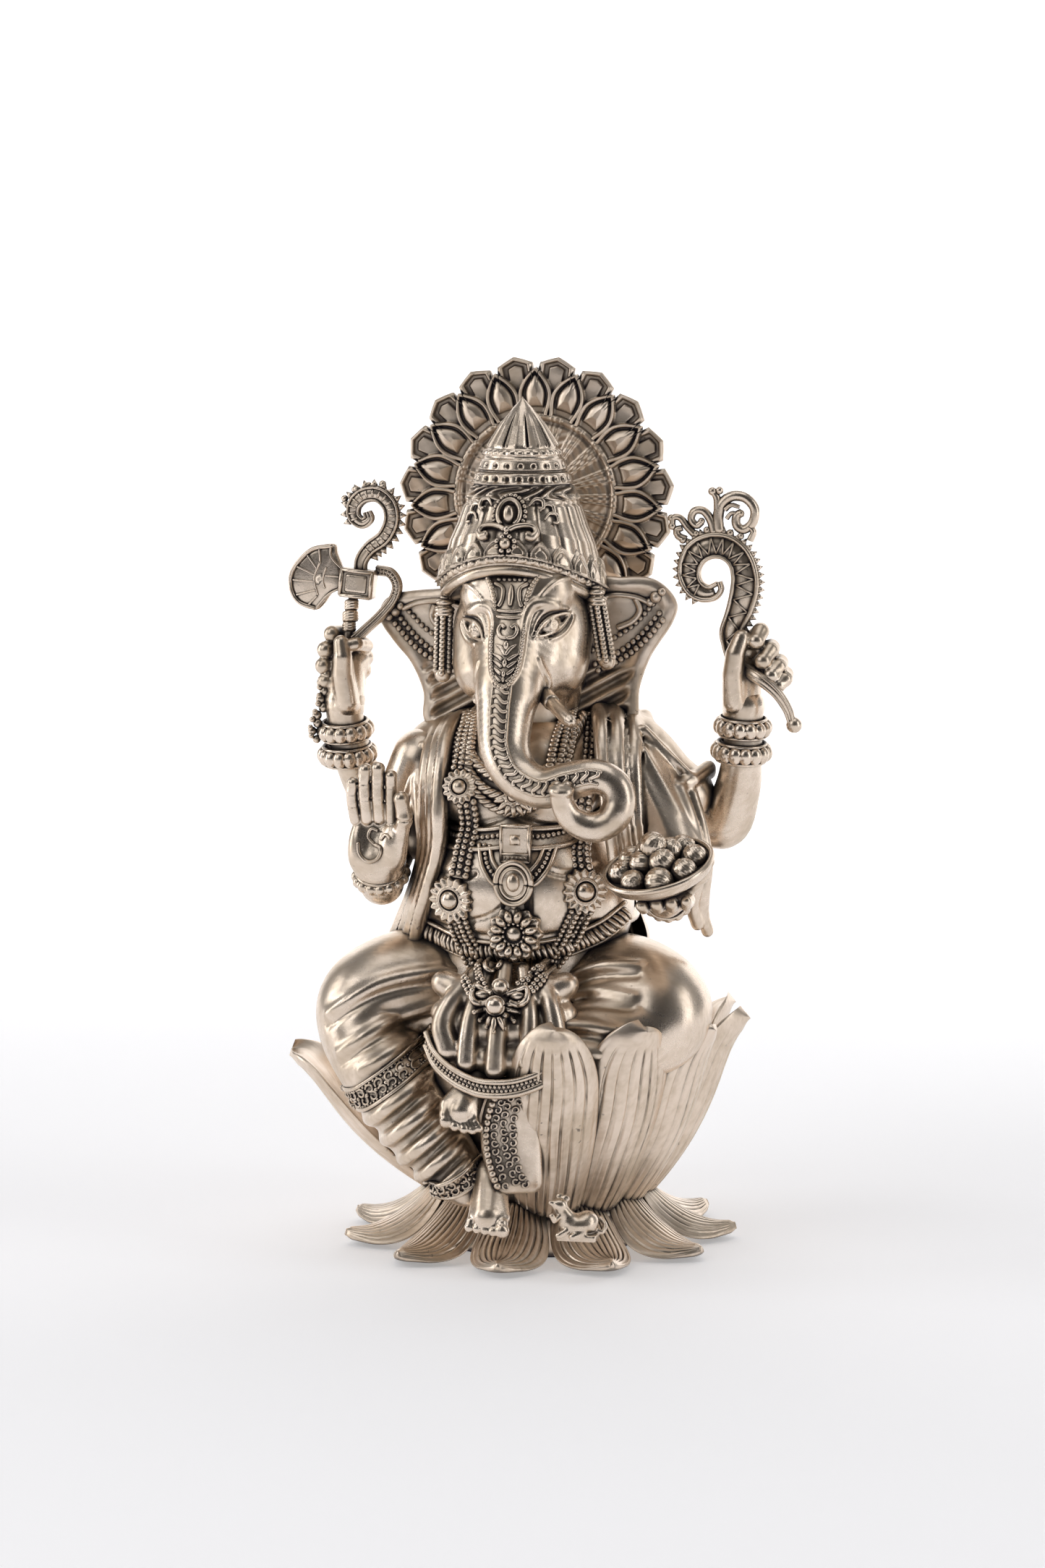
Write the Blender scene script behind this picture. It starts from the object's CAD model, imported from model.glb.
import math
import bpy
import numpy as np
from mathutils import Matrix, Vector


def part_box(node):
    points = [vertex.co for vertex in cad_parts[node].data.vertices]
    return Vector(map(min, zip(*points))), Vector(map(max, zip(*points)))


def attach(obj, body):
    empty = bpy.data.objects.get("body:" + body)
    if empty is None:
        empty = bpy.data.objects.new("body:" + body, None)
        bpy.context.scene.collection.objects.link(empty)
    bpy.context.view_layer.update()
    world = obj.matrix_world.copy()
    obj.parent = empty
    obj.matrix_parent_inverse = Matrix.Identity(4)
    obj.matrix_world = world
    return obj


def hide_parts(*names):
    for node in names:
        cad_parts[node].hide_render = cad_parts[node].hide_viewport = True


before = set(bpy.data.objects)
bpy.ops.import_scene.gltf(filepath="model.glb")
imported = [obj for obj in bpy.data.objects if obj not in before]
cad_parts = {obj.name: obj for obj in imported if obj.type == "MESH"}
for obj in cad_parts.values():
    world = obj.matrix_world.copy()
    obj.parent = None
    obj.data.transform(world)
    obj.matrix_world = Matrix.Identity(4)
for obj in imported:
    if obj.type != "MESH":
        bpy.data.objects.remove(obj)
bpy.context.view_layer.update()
coarse = 1.0  # a rougher sculpt for trial runs


# places, in millimetres, read off the frame
def boxOf(node):
    return np.array(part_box(node), float) * 1000


def middle(node):
    return boxOf(node).mean(0)


def low(node):
    return boxOf(node)[0]


def high(node):
    return boxOf(node)[1]


def vec(x, y, z):
    return np.array([x, y, z], float)


# small maths
def smooth(edge0, edge1, x):
    t = np.clip((x - edge0) / (edge1 - edge0), 0, 1)
    return t * t * (3 - 2 * t)


def bump(x, centre, width):
    return np.exp(-((x - centre) / width) ** 2)


def unit(v):
    v = np.asarray(v, float)
    return v / np.linalg.norm(v)


def turn(axis, degrees):
    a, t = unit(axis), math.radians(degrees)
    k = np.array([[0, -a[2], a[1]], [a[2], 0, -a[0]], [-a[1], a[0], 0]])
    return np.eye(3) + math.sin(t) * k + (1 - math.cos(t)) * (k @ k)


# smooth curve through hand-placed points
def curve(points, count, closed=False):
    p = np.array(points, float)
    if closed:
        p = np.vstack([p[-1:], p, p[:2]])
    else:
        p = np.vstack([2 * p[0] - p[1], p, 2 * p[-1] - p[-2]])
    t = np.linspace(0, len(p) - 3, count, endpoint=not closed)
    i = np.minimum(t.astype(int), len(p) - 4)
    f = (t - i)[:, None]
    a, b, c, d = p[i], p[i + 1], p[i + 2], p[i + 3]
    return (0.5 * (2 * b + (c - a) * f + (2 * a - 5 * b + 4 * c - d) * f ** 2
                   + (3 * b - a - 3 * c + d) * f ** 3))


# how far along a polyline each of its points lies
def runLength(p):
    return np.concatenate([[0], np.cumsum(np.linalg.norm(np.diff(p, axis=0), axis=1))])


def runDirection(p):
    t = np.gradient(p, axis=0)
    return t / np.linalg.norm(t, axis=1)[:, None]


def around(count):
    return np.linspace(0, 2 * np.pi, count + 1)[:-1]


# points at an even pitch along a polyline
def strung(points, pitch, shift=0.0):
    p = np.asarray(points, float)
    run = runLength(p)
    at = np.arange(shift, run[-1] + 1e-6, pitch)
    return np.stack([np.interp(at, run, p[:, k]) for k in range(p.shape[1])], 1)


# three-way wobble, the same on every run
def wobble(p, size, seed=0):
    x, y, z = (p / size).T
    s = seed * 1.7
    return (np.sin(x * 1.3 + y * 0.7 + s) * np.sin(y * 1.1 - z * 0.8 + 2 * s)
            + np.sin(z * 1.7 + x * 0.6 + 3 * s) * 0.6
            + np.sin(x * 2.3 - z * 1.9 + y * 1.5 + s) * 0.4) / 2


# meshes
class Casting:
    def __init__(self):
        self.points, self.loops, self.sizes, self.count = [], [], [], 0

    def add(self, points, faces):
        points, faces = np.asarray(points, float).reshape(-1, 3), np.asarray(faces, int)
        first, second, third = (points[faces[:, k]] for k in range(3))
        volume = np.einsum("ij,ij->i", first, np.cross(second, third)).sum()
        if faces.shape[1] == 4:
            volume += np.einsum("ij,ij->i", first, np.cross(third, points[faces[:, 3]])).sum()
        if volume < 0:
            faces = faces[:, ::-1]
        self.points.append(points)
        self.loops.append((faces + self.count).ravel())
        self.sizes.append(np.full(len(faces), faces.shape[1]))
        self.count += len(points)
        return self

    def absorb(self, other):  # take over another casting's shapes
        self.points += other.points
        self.loops += [l + self.count for l in other.loops]
        self.sizes += other.sizes
        self.count += other.count

    def place(self, name, metal, slot, *nodes):
        points = np.concatenate(self.points) * 0.001
        loops, sizes = np.concatenate(self.loops), np.concatenate(self.sizes)
        mesh = bpy.data.meshes.new(name)
        mesh.vertices.add(len(points))
        mesh.vertices.foreach_set("co", points.ravel())
        mesh.loops.add(len(loops))
        mesh.loops.foreach_set("vertex_index", loops)
        mesh.polygons.add(len(sizes))
        mesh.polygons.foreach_set("loop_start", np.concatenate([[0], np.cumsum(sizes)[:-1]]))
        mesh.polygons.foreach_set("loop_total", sizes)
        mesh.polygons.foreach_set("use_smooth", np.ones(len(sizes), bool))
        mesh.update()
        mesh.validate()
        mesh.materials.append(metal)
        piece = bpy.data.objects.new(name, mesh)
        bpy.context.collection.objects.link(piece)
        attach(piece, "root")
        if nodes:
            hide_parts(*nodes)
        made.append((name, len(sizes)))
        return piece


made = []


# faces of a grid of nu by nv points
def gridFaces(nu, nv, closeU, closeV):
    i, j = np.arange(nu if closeU else nu - 1), np.arange(nv if closeV else nv - 1)
    i, j = (a.ravel() for a in np.meshgrid(i, j, indexing="ij"))
    i1, j1 = (i + 1) % nu, (j + 1) % nv
    return np.stack([i * nv + j, i1 * nv + j, i1 * nv + j1, i * nv + j1], 1)


# a tube of rows by sides points, and its two end points after them
def tubeFaces(rows, sides):
    quads = gridFaces(rows, sides, False, True)
    k = np.arange(sides)
    k1, base = (k + 1) % sides, rows * sides
    start = np.stack([np.full(sides, base), k, k1], 1)
    end = np.stack([np.full(sides, base + 1), base - sides + k1, base - sides + k], 1)
    return np.vstack([quads[:, [0, 1, 2]], quads[:, [0, 2, 3]], start, end])


def ringGrid(n, m):
    return np.meshgrid(np.arange(n) / n, np.linspace(0, 1, m), indexing="ij")


# a surface from shape(u, v), u and v running 0 to 1, closed along either of them
def skinOf(casting, nu, nv, shape, closeU=True, closeV=False):
    u, v = np.meshgrid(np.linspace(0, 1, nu, endpoint=not closeU),
                       np.linspace(0, 1, nv, endpoint=not closeV), indexing="ij")
    points = np.stack(np.broadcast_arrays(*shape(u, v)), -1).reshape(-1, 3)
    return casting.add(points, gridFaces(nu, nv, closeU, closeV))


# a round ball as a small mesh, and many of them at once
def ballMesh(rings, sides):
    a = np.linspace(0, np.pi, rings + 1)[1:-1]
    b = np.arange(sides) * 2 * np.pi / sides
    rim = np.stack([np.outer(np.sin(a), np.cos(b)), np.outer(np.sin(a), np.sin(b)),
                    np.outer(np.cos(a), np.ones(sides))], -1)
    points = np.vstack([[0, 0, 1], rim.reshape(-1, 3), [0, 0, -1]])
    quads = gridFaces(rings - 1, sides, False, True) + 1
    k = np.arange(sides)
    last = len(points) - 1
    top = np.stack([np.zeros(sides, int), k + 1, (k + 1) % sides + 1], 1)
    bottom = np.stack([np.full(sides, last), last - sides + (k + 1) % sides, last - sides + k], 1)
    tris = np.vstack([quads[:, [0, 1, 2]], quads[:, [0, 2, 3]], top, bottom])
    return points, tris


def beads(casting, centres, radius, rings=7, sides=12, squash=(1, 1, 1), basis=None):
    points, tris = ballMesh(rings, sides)
    centres = np.asarray(centres, float).reshape(-1, 3)
    radius = np.broadcast_to(radius, len(centres))
    shape = points * np.asarray(squash, float)
    for c, r, k in zip(centres, radius, range(len(centres))):
        local = shape * r
        if basis is not None:
            local = local @ (basis[k] if len(np.shape(basis)) == 3 else basis).T
        casting.add(c + local, tris)
    return casting


# directions along a line of points, and two square to it; up picks how the second one faces
def frames(points, up):
    t = runDirection(points)
    up = np.broadcast_to(np.asarray(up, float), points.shape)
    side = np.cross(t, up)
    side /= np.linalg.norm(side, axis=1)[:, None] + 1e-9
    return t, side, np.cross(side, t)


# a rod of any cross-section along a line; width and height may change along it
def rod(casting, points, width, height=None, up=(0, 0, 1), sides=12, power=1.0):
    points = np.asarray(points, float)
    n = len(points)
    _, side, above = frames(points, up)
    width = np.broadcast_to(width, n)
    height = width if height is None else np.broadcast_to(height, n)
    a = np.arange(sides) * 2 * np.pi / sides
    c, s = np.cos(a), np.sin(a)
    c, s = np.sign(c) * np.abs(c) ** power, np.sign(s) * np.abs(s) ** power
    rings = (points[:, None] + side[:, None] * (width[:, None] * c)[..., None]
             + above[:, None] * (height[:, None] * s)[..., None])
    pts = np.vstack([rings.reshape(-1, 3), points[0], points[-1]])
    return casting.add(pts, tubeFaces(n, sides))


# clay: signed distances that are joined, cut and meshed
class Clay:
    def __init__(self, points):
        self.p = points
        self.d = np.full(len(points), 50.0)

    def near(self, lo, hi, pad):
        return np.flatnonzero(((self.p > np.asarray(lo) - pad) & (self.p < np.asarray(hi) + pad)).all(1))

    def mix(self, at, d, blend, cut=False):
        a = -self.d[at] if cut else self.d[at]
        if blend > 0:
            h = np.clip(0.5 + 0.5 * (d - a) / blend, 0, 1)
            out = d * (1 - h) + a * h - blend * h * (1 - h)
        else:
            out = np.minimum(a, d)
        self.d[at] = -out if cut else out

    def ball(self, centre, radii, blend=0.0, axes=None, cut=False):
        radii = np.broadcast_to(np.asarray(radii, float), 3)
        reach = radii.max()
        at = self.near(centre - reach, centre + reach, 3 + blend)
        q = self.p[at] - centre
        if axes is not None:
            q = q @ axes
        k0 = np.linalg.norm(q / radii, axis=1)
        k1 = np.linalg.norm(q / radii ** 2, axis=1) + 1e-9
        self.mix(at, k0 * (k0 - 1) / k1, blend, cut)
        return self

    def bone(self, a, b, ra, rb, blend=0.0, cut=False, flat=None):
        a, b = np.asarray(a, float), np.asarray(b, float)
        r = max(ra, rb)
        at = self.near(np.minimum(a, b) - r, np.maximum(a, b) + r, 3 + blend)
        q, ab = self.p[at] - a, b - a
        t = np.clip(q @ ab / (ab @ ab + 1e-9), 0, 1)
        away = q - t[:, None] * ab
        if flat is not None:  # squashed across the direction flat[0] by flat[1]
            n, share = unit(flat[0]), flat[1]
            away = away + np.outer(away @ n, n) * (1 / share - 1)
        self.mix(at, np.linalg.norm(away, axis=1) - (ra + (rb - ra) * t), blend, cut)
        return self

    def strand(self, points, radii, blend=0.0, cut=False, flat=None, own=0.0):
        points = np.asarray(points, float)
        radii = np.broadcast_to(radii, len(points))
        lo, hi, r = points.min(0), points.max(0), radii.max()
        at = self.near(lo - r, hi + r, 3 + blend)
        sub = Clay(self.p[at])
        for i in range(len(points) - 1):
            sub.bone(points[i], points[i + 1], radii[i], radii[i + 1], own, flat=flat)
        self.mix(at, sub.d, blend, cut)
        return self

    def block(self, centre, half, blend=0.0, axes=None, edge=0.1, cut=False):
        half = np.asarray(half, float)
        reach = np.linalg.norm(half)
        at = self.near(centre - reach, centre + reach, 3 + blend)
        q = self.p[at] - centre
        if axes is not None:
            q = q @ axes
        q = np.abs(q) - (half - edge)
        self.mix(at, np.linalg.norm(np.maximum(q, 0), axis=1) + np.minimum(q.max(1), 0) - edge, blend, cut)
        return self

    def ring(self, centre, axis, radius, thick, blend=0.0, cut=False, tall=None):
        n = unit(axis)
        reach = radius + thick
        at = self.near(centre - reach, centre + reach, 3 + blend)
        q = self.p[at] - centre
        z = q @ n
        rho = np.linalg.norm(q - np.outer(z, n), axis=1) - radius
        d = (np.hypot(rho, z) - thick if tall is None
             else (np.hypot(rho / thick, z / tall) - 1) * min(thick, tall))
        self.mix(at, d, blend, cut)
        return self

    def level(self, height, below=True):
        d = height - self.p[:, 2] if below else self.p[:, 2] - height
        self.d = np.maximum(self.d, d)
        return self


# net of faces round the zero of a field on a grid
def netOf(field, origin, step):
    s = field < 0
    total = np.zeros(np.array(field.shape) - 1, np.int8)
    corners = [(i, j, k) for i in (0, 1) for j in (0, 1) for k in (0, 1)]
    nx, ny, nz = total.shape
    for i, j, k in corners:
        total += s[i:i + nx, j:j + ny, k:k + nz]
    mixed = (total > 0) & (total < 8)
    cells = np.argwhere(mixed)
    index = np.full(total.shape, -1, np.int64)
    index[mixed] = np.arange(len(cells))
    place, hits = np.zeros((len(cells), 3)), np.zeros(len(cells))
    for a in corners:
        for axis in range(3):
            if a[axis] == 0:
                b = list(a)
                b[axis] = 1
                fa = field[tuple((cells + a).T)]
                fb = field[tuple((cells + b).T)]
                cross = (fa < 0) != (fb < 0)
                t = np.where(cross, fa / np.where(cross, fa - fb, 1), 0)
                q = np.tile(np.array(a, float), (len(cells), 1))
                q[:, axis] = t
                place += q * cross[:, None]
                hits += cross
    points = origin + step * (cells + place / hits[:, None])
    faces = []
    for axis in range(3):
        other = [k for k in range(3) if k != axis]
        one = [slice(1, -1)] * 3
        one[axis] = slice(0, -1)
        two = list(one)
        two[axis] = slice(1, None)
        start = s[tuple(one)]
        end = s[tuple(two)]
        at = np.argwhere(start != end)
        at[:, other] += 1
        u, v = np.zeros(3, int), np.zeros(3, int)
        u[other[0]], v[other[1]] = 1, 1
        quad = np.stack([index[tuple((at - w).T)] for w in (u * 0, u, u + v, v)], 1)
        inside = s[tuple(at.T)]
        flip = inside if axis != 1 else ~inside
        quad[~flip] = quad[~flip][:, ::-1]
        faces.append(quad)
    return points, np.vstack(faces)


# runs a recipe on the points of a box, coarse first, then fine only where the surface passes
def sculpt(casting, lo, hi, step, recipe):
    step = step * coarse
    skip = 4
    lo, hi = np.asarray(lo, float) - 2 * step, np.asarray(hi, float) + 2 * step
    count = np.ceil((hi - lo) / (step * skip)).astype(int) + 1
    axes = [lo[k] + np.arange(count[k]) * step * skip for k in range(3)]
    rough = Clay(np.stack(np.meshgrid(*axes, indexing="ij"), -1).reshape(-1, 3))
    recipe(rough)
    roughField = rough.d.reshape(count)
    close = np.abs(roughField) < 1.8 * step * skip
    cells = np.zeros(count - 1, bool)
    for i in (0, 1):
        for j in (0, 1):
            for k in (0, 1):
                cells |= close[i:i + count[0] - 1, j:j + count[1] - 1, k:k + count[2] - 1]
    fine = (count - 1) * skip + 1
    wanted = np.zeros(fine, bool)
    spread = cells.repeat(skip, 0).repeat(skip, 1).repeat(skip, 2)
    for i in (0, 1):
        for j in (0, 1):
            for k in (0, 1):
                wanted[i:i + fine[0] - 1, j:j + fine[1] - 1, k:k + fine[2] - 1] |= spread
    which = np.argwhere(wanted)
    field = roughField[np.ix_(*[np.minimum((np.arange(fine[k]) + skip // 2) // skip, count[k] - 1)
                                for k in range(3)])].copy()
    final = Clay(lo + which * step)
    recipe(final)
    field[wanted] = final.d
    field[0], field[-1] = np.maximum(field[0], 1e-3), np.maximum(field[-1], 1e-3)
    field[:, 0], field[:, -1] = np.maximum(field[:, 0], 1e-3), np.maximum(field[:, -1], 1e-3)
    field[:, :, 0], field[:, :, -1] = np.maximum(field[:, :, 0], 1e-3), np.maximum(field[:, :, -1], 1e-3)
    points, faces = netOf(field, lo, step)
    return casting.add(points, faces)


# camera, light and floor
view = {
    "azimuth": 12,
    "elevation": 7,
    "distance": 0.493,
    "lens": 100,
    "sensor": 36,
    "aim": (-1.87, -0.4, 52.1),
}
studio = {
    "floor": (0.93, 0.92, 0.945),
    "glow": 1.0,
    "world": 0.26,
    "key": 0.75,
    "left": 0.7,
    "right": 0.5,
    "top": 0.7,
}


def addCamera():
    az, el = math.radians(view["azimuth"]), math.radians(view["elevation"])
    aim = np.array(view["aim"]) * 0.001
    away = np.array([math.sin(az) * math.cos(el), -math.cos(az) * math.cos(el), math.sin(el)])
    data = bpy.data.cameras.new("viewer")
    data.lens, data.sensor_fit = view["lens"], "VERTICAL"
    data.sensor_height = view["sensor"]
    data.clip_start, data.clip_end = 0.01, 50
    camera = bpy.data.objects.new("viewer", data)
    camera.location = aim + away * view["distance"]
    camera.rotation_euler = (math.radians(90) - el, 0, az)
    bpy.context.collection.objects.link(camera)
    bpy.context.scene.camera = camera


def softLight(name, azimuth, height, distance, size, watts, tone=(1, 1, 1)):
    data = bpy.data.lights.new(name, "AREA")
    data.shape, data.size, data.size_y, data.energy, data.color = "RECTANGLE", size[0], size[1], watts, tone
    light = bpy.data.objects.new(name, data)
    az = math.radians(azimuth)
    target = np.array([0, 0, 0.05])
    light.location = (distance * math.sin(az), -distance * math.cos(az), height)
    facing = target - np.array(light.location)
    light.rotation_euler = (math.acos(-facing[2] / np.linalg.norm(facing)), 0, az)
    bpy.context.collection.objects.link(light)


def addStudio():
    world = bpy.data.worlds.new("studio")
    world.use_nodes = True
    bpy.context.scene.world = world
    links, nodes = world.node_tree.links, world.node_tree.nodes
    nodes.clear()
    place = nodes.new("ShaderNodeTexCoord")
    split = nodes.new("ShaderNodeSeparateXYZ")
    links.new(place.outputs["Generated"], split.inputs[0])
    ramp = nodes.new("ShaderNodeValToRGB")  # the room is darker low down and on the viewer's side
    ramp.color_ramp.elements[0].position, ramp.color_ramp.elements[0].color = 0.0, (0.05, 0.048, 0.052, 1)
    ramp.color_ramp.elements[1].position, ramp.color_ramp.elements[1].color = 0.72, (1, 1, 1, 1)
    level = nodes.new("ShaderNodeMath")
    level.operation = "MULTIPLY_ADD"
    links.new(split.outputs["Y"], level.inputs[0])
    level.inputs[1].default_value, level.inputs[2].default_value = 0.5, 0.5
    links.new(level.outputs[0], ramp.inputs[0])
    back = nodes.new("ShaderNodeBackground")
    links.new(ramp.outputs[0], back.inputs[0])
    back.inputs[1].default_value = studio["world"]
    out = nodes.new("ShaderNodeOutputWorld")
    links.new(back.outputs[0], out.inputs[0])
    softLight("keyLight", -38, 0.42, 0.55, (0.35, 0.5), studio["key"])
    softLight("leftLight", -80, 0.16, 0.5, (0.2, 0.5), studio["left"])
    softLight("rightLight", 78, 0.2, 0.5, (0.2, 0.5), studio["right"])
    softLight("topLight", 10, 0.75, 0.1, (0.5, 0.5), studio["top"])
    bpy.context.scene.view_settings.view_transform = "Standard"


def addFloor():
    a = np.linspace(0, 1, 33)
    # runs back flat and then sweeps up behind
    run = np.concatenate([-1.6 + 2.9 * a[:-1], 1.3 + 0.9 * np.sin(a * np.pi / 2), [2.2]])
    rise = np.concatenate([0 * a[:-1], 0.9 * (1 - np.cos(a * np.pi / 2)), [2.6]])
    wide = np.array([-2.6, 2.6])
    points = np.stack([np.broadcast_to(wide, (len(run), 2)), np.repeat(run[:, None], 2, 1),
                       np.repeat(rise[:, None], 2, 1)], -1)
    mesh = bpy.data.meshes.new("floor")
    mesh.from_pydata([tuple(p) for p in points.reshape(-1, 3)], [],
                     gridFaces(len(run), 2, False, False).tolist())
    floor = bpy.data.objects.new("floor", mesh)
    for face in mesh.polygons:
        face.use_smooth = True
    bpy.context.collection.objects.link(floor)
    mesh.materials.append(floorPaint())


# shader helper
class Sock:
    def __init__(self, shade, out):
        self.shade, self.out = shade, out

    def math(self, how, other=0.0, back=False):
        a, b = (other, self) if back else (self, other)
        return self.shade.node("ShaderNodeMath", {"operation": how}, {0: a, 1: b})

    def __add__(self, other):
        return self.math("ADD", other)

    def __radd__(self, other):
        return self.math("ADD", other)

    def __sub__(self, other):
        return self.math("SUBTRACT", other)

    def __rsub__(self, other):
        return self.math("SUBTRACT", other, True)

    def __mul__(self, other):
        return self.math("MULTIPLY", other)

    def __rmul__(self, other):
        return self.math("MULTIPLY", other)

    def clamp(self):
        return self.math("MAXIMUM", 0.0).math("MINIMUM", 1.0)


class Shade:
    def __init__(self, name):
        self.material = bpy.data.materials.new(name)
        self.material.use_nodes = True
        self.tree = self.material.node_tree
        self.tree.nodes.clear()

    # any node: its type, its settings first, then values or links of its sockets; gives the output asked for
    def node(self, kind, settings=None, inputs=None, out=0):
        made = self.tree.nodes.new(kind)
        for key, value in (settings or {}).items():
            setattr(made, key, value)
        for key, value in (inputs or {}).items():
            socket = made.inputs[key]
            if isinstance(value, Sock):
                self.tree.links.new(value.out, socket)
            else:
                socket.default_value = (*value, 1) if isinstance(value,
                        tuple) and len(value) == 3 and socket.type == "RGBA" else value
        return Sock(self, made.outputs[out])

    def noise(self, place, scale, detail=3, rough=0.5, seed=0.0):
        return self.node("ShaderNodeTexNoise", {"noise_dimensions": "4D"},
                         {"Vector": place, "W": seed, "Scale": scale, "Detail": detail, "Roughness": rough})

    def step(self, value, low, high):
        return self.node("ShaderNodeMapRange", {"interpolation_type": "SMOOTHSTEP"},
                         {0: value, 1: low, 2: high, 3: 0.0, 4: 1.0})

    def blend(self, share, a, b):
        made = self.tree.nodes.new("ShaderNodeMix")
        made.data_type = "RGBA"
        for socket, value in ((made.inputs[0], share), (made.inputs[6], a), (made.inputs[7], b)):
            if isinstance(value, Sock):
                self.tree.links.new(value.out, socket)
            else:
                socket.default_value = (*value, 1) if isinstance(value, tuple) else value
        return Sock(self, made.outputs[2])

    def finish(self, **inputs):
        shader = self.node("ShaderNodeBsdfPrincipled", None,
                           {k.replace("_", " "): v for k, v in inputs.items()})
        output = self.tree.nodes.new("ShaderNodeOutputMaterial")
        self.tree.links.new(shader.out, output.inputs["Surface"])
        return self.material


def floorPaint():
    shade = Shade("floorPaint")
    place = shade.node("ShaderNodeTexCoord", None, None, "Object")
    grain = shade.noise(place, 60, 3)
    tone = shade.blend(grain, studio["floor"], tuple(0.985 * c for c in studio["floor"]))
    split = shade.node("ShaderNodeSeparateXYZ", None, {0: place}, "Y")
    lit = shade.blend(shade.step(split, -0.02, 0.5), (0.3, 0.3, 0.3), (1.0, 1.0, 1.0))  # brighter behind
    return shade.finish(Base_Color=tone, Roughness=0.85, Specular_IOR_Level=0.1, Emission_Color=lit,
                        Emission_Strength=studio["glow"])


# brass: bare metal on what is handled, brown and violet-black tarnish in the hollows
brass = {"bright": (0.86, 0.73, 0.61), "warm": (0.65, 0.53, 0.405), "olive": (0.31, 0.27, 0.2),
         "tarnish": (0.028, 0.024, 0.036), "brown": (0.108, 0.085, 0.082), "hollow": 1.5, "deep": 0.45}


def castBrass(name, dirt=1.0, gloss=0.27, pits=1.0, seed=0.0, bright=None):
    shade = Shade(name)
    place = shade.node("ShaderNodeTexCoord", None, None, "Object")
    wide = shade.node("ShaderNodeAmbientOcclusion", {"samples": 8}, {"Distance": brass["hollow"] * 0.001},
                      "AO")
    tight = shade.node("ShaderNodeAmbientOcclusion", {"samples": 8}, {"Distance": brass["deep"] * 0.001},
                       "AO")
    cloud = shade.noise(place, 140, 4, 0.6, seed)
    speck = shade.noise(place, 1500, 3, 0.65, seed + 2)
    grain = shade.noise(place, 5200, 2, 0.6, seed + 4)
    scratch = shade.node("ShaderNodeVectorMath", {"operation": "MULTIPLY"}, {0: place, 1: (300, 2600, 900)})
    streak = shade.noise(scratch, 1, 2, 0.6, seed + 6)
    hollow = shade.step(1 - wide + (cloud - 0.5) * 0.25, 0.22, 0.66) * dirt
    crack = shade.step(1 - tight + (speck - 0.5) * 0.28, 0.26, 0.62) * dirt
    pit = shade.step(speck + (cloud - 0.5) * 0.35, 0.66, 0.76) * 0.75 * pits
    rubbed = shade.step(cloud + (streak - 0.5) * 0.5, 0.3, 0.75)
    tone = shade.blend(rubbed, bright or brass["bright"], brass["warm"])
    tone = shade.blend(shade.step(1 - wide + (speck - 0.5) * 0.2, 0.1, 0.6) * 0.85, tone, brass["olive"])
    tone = shade.blend(hollow.clamp(), tone, brass["brown"])
    tone = shade.blend((crack + pit * 0.8).clamp(), tone, brass["tarnish"])
    dark = (hollow * 0.6 + crack * 0.6 + pit * 0.5).clamp()
    rough = gloss + rubbed * 0.1 + dark * 0.35 + (grain - 0.5) * 0.12
    relief = shade.node("ShaderNodeBump", None, {"Strength": 0.35, "Distance": 0.00006,
                        "Height": speck * 0.6 + grain * 0.35 - pit * 1.2 + streak * 0.25}, "Normal")
    return shade.finish(Base_Color=tone, Metallic=1 - dark * 0.55, Roughness=rough, Normal=relief)


# lotus
lotus = {"ribs": 8, "ribDepth": 0.42, "upper": 14, "missing": 3, "first": 16, "openLean": 18, "lower": 11,
         "thick": 1.5, "width": 5.15, "rims": [27.8, 27.4, 26.4, 26.0], "openRim": 24.6,
         "curls": [(1.2, 1.1), (0.3, 2.0), (0, 2.9)]}


def petalRibs(across, along, seed, count, depth):
    shift = 0.12 * np.sin(along * 5 + seed) + 0.05 * np.sin(along * 13 + 2 * seed)
    wave = np.abs(np.sin(np.pi * (across * count / 2 + shift + seed * 0.31)))
    strength = 0.8 + 0.2 * np.sin(along * 9 + across * 7 + seed * 3)
    return depth * (np.minimum(1, 1.6 * wave) ** 0.7 - 0.85) * strength


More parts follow.
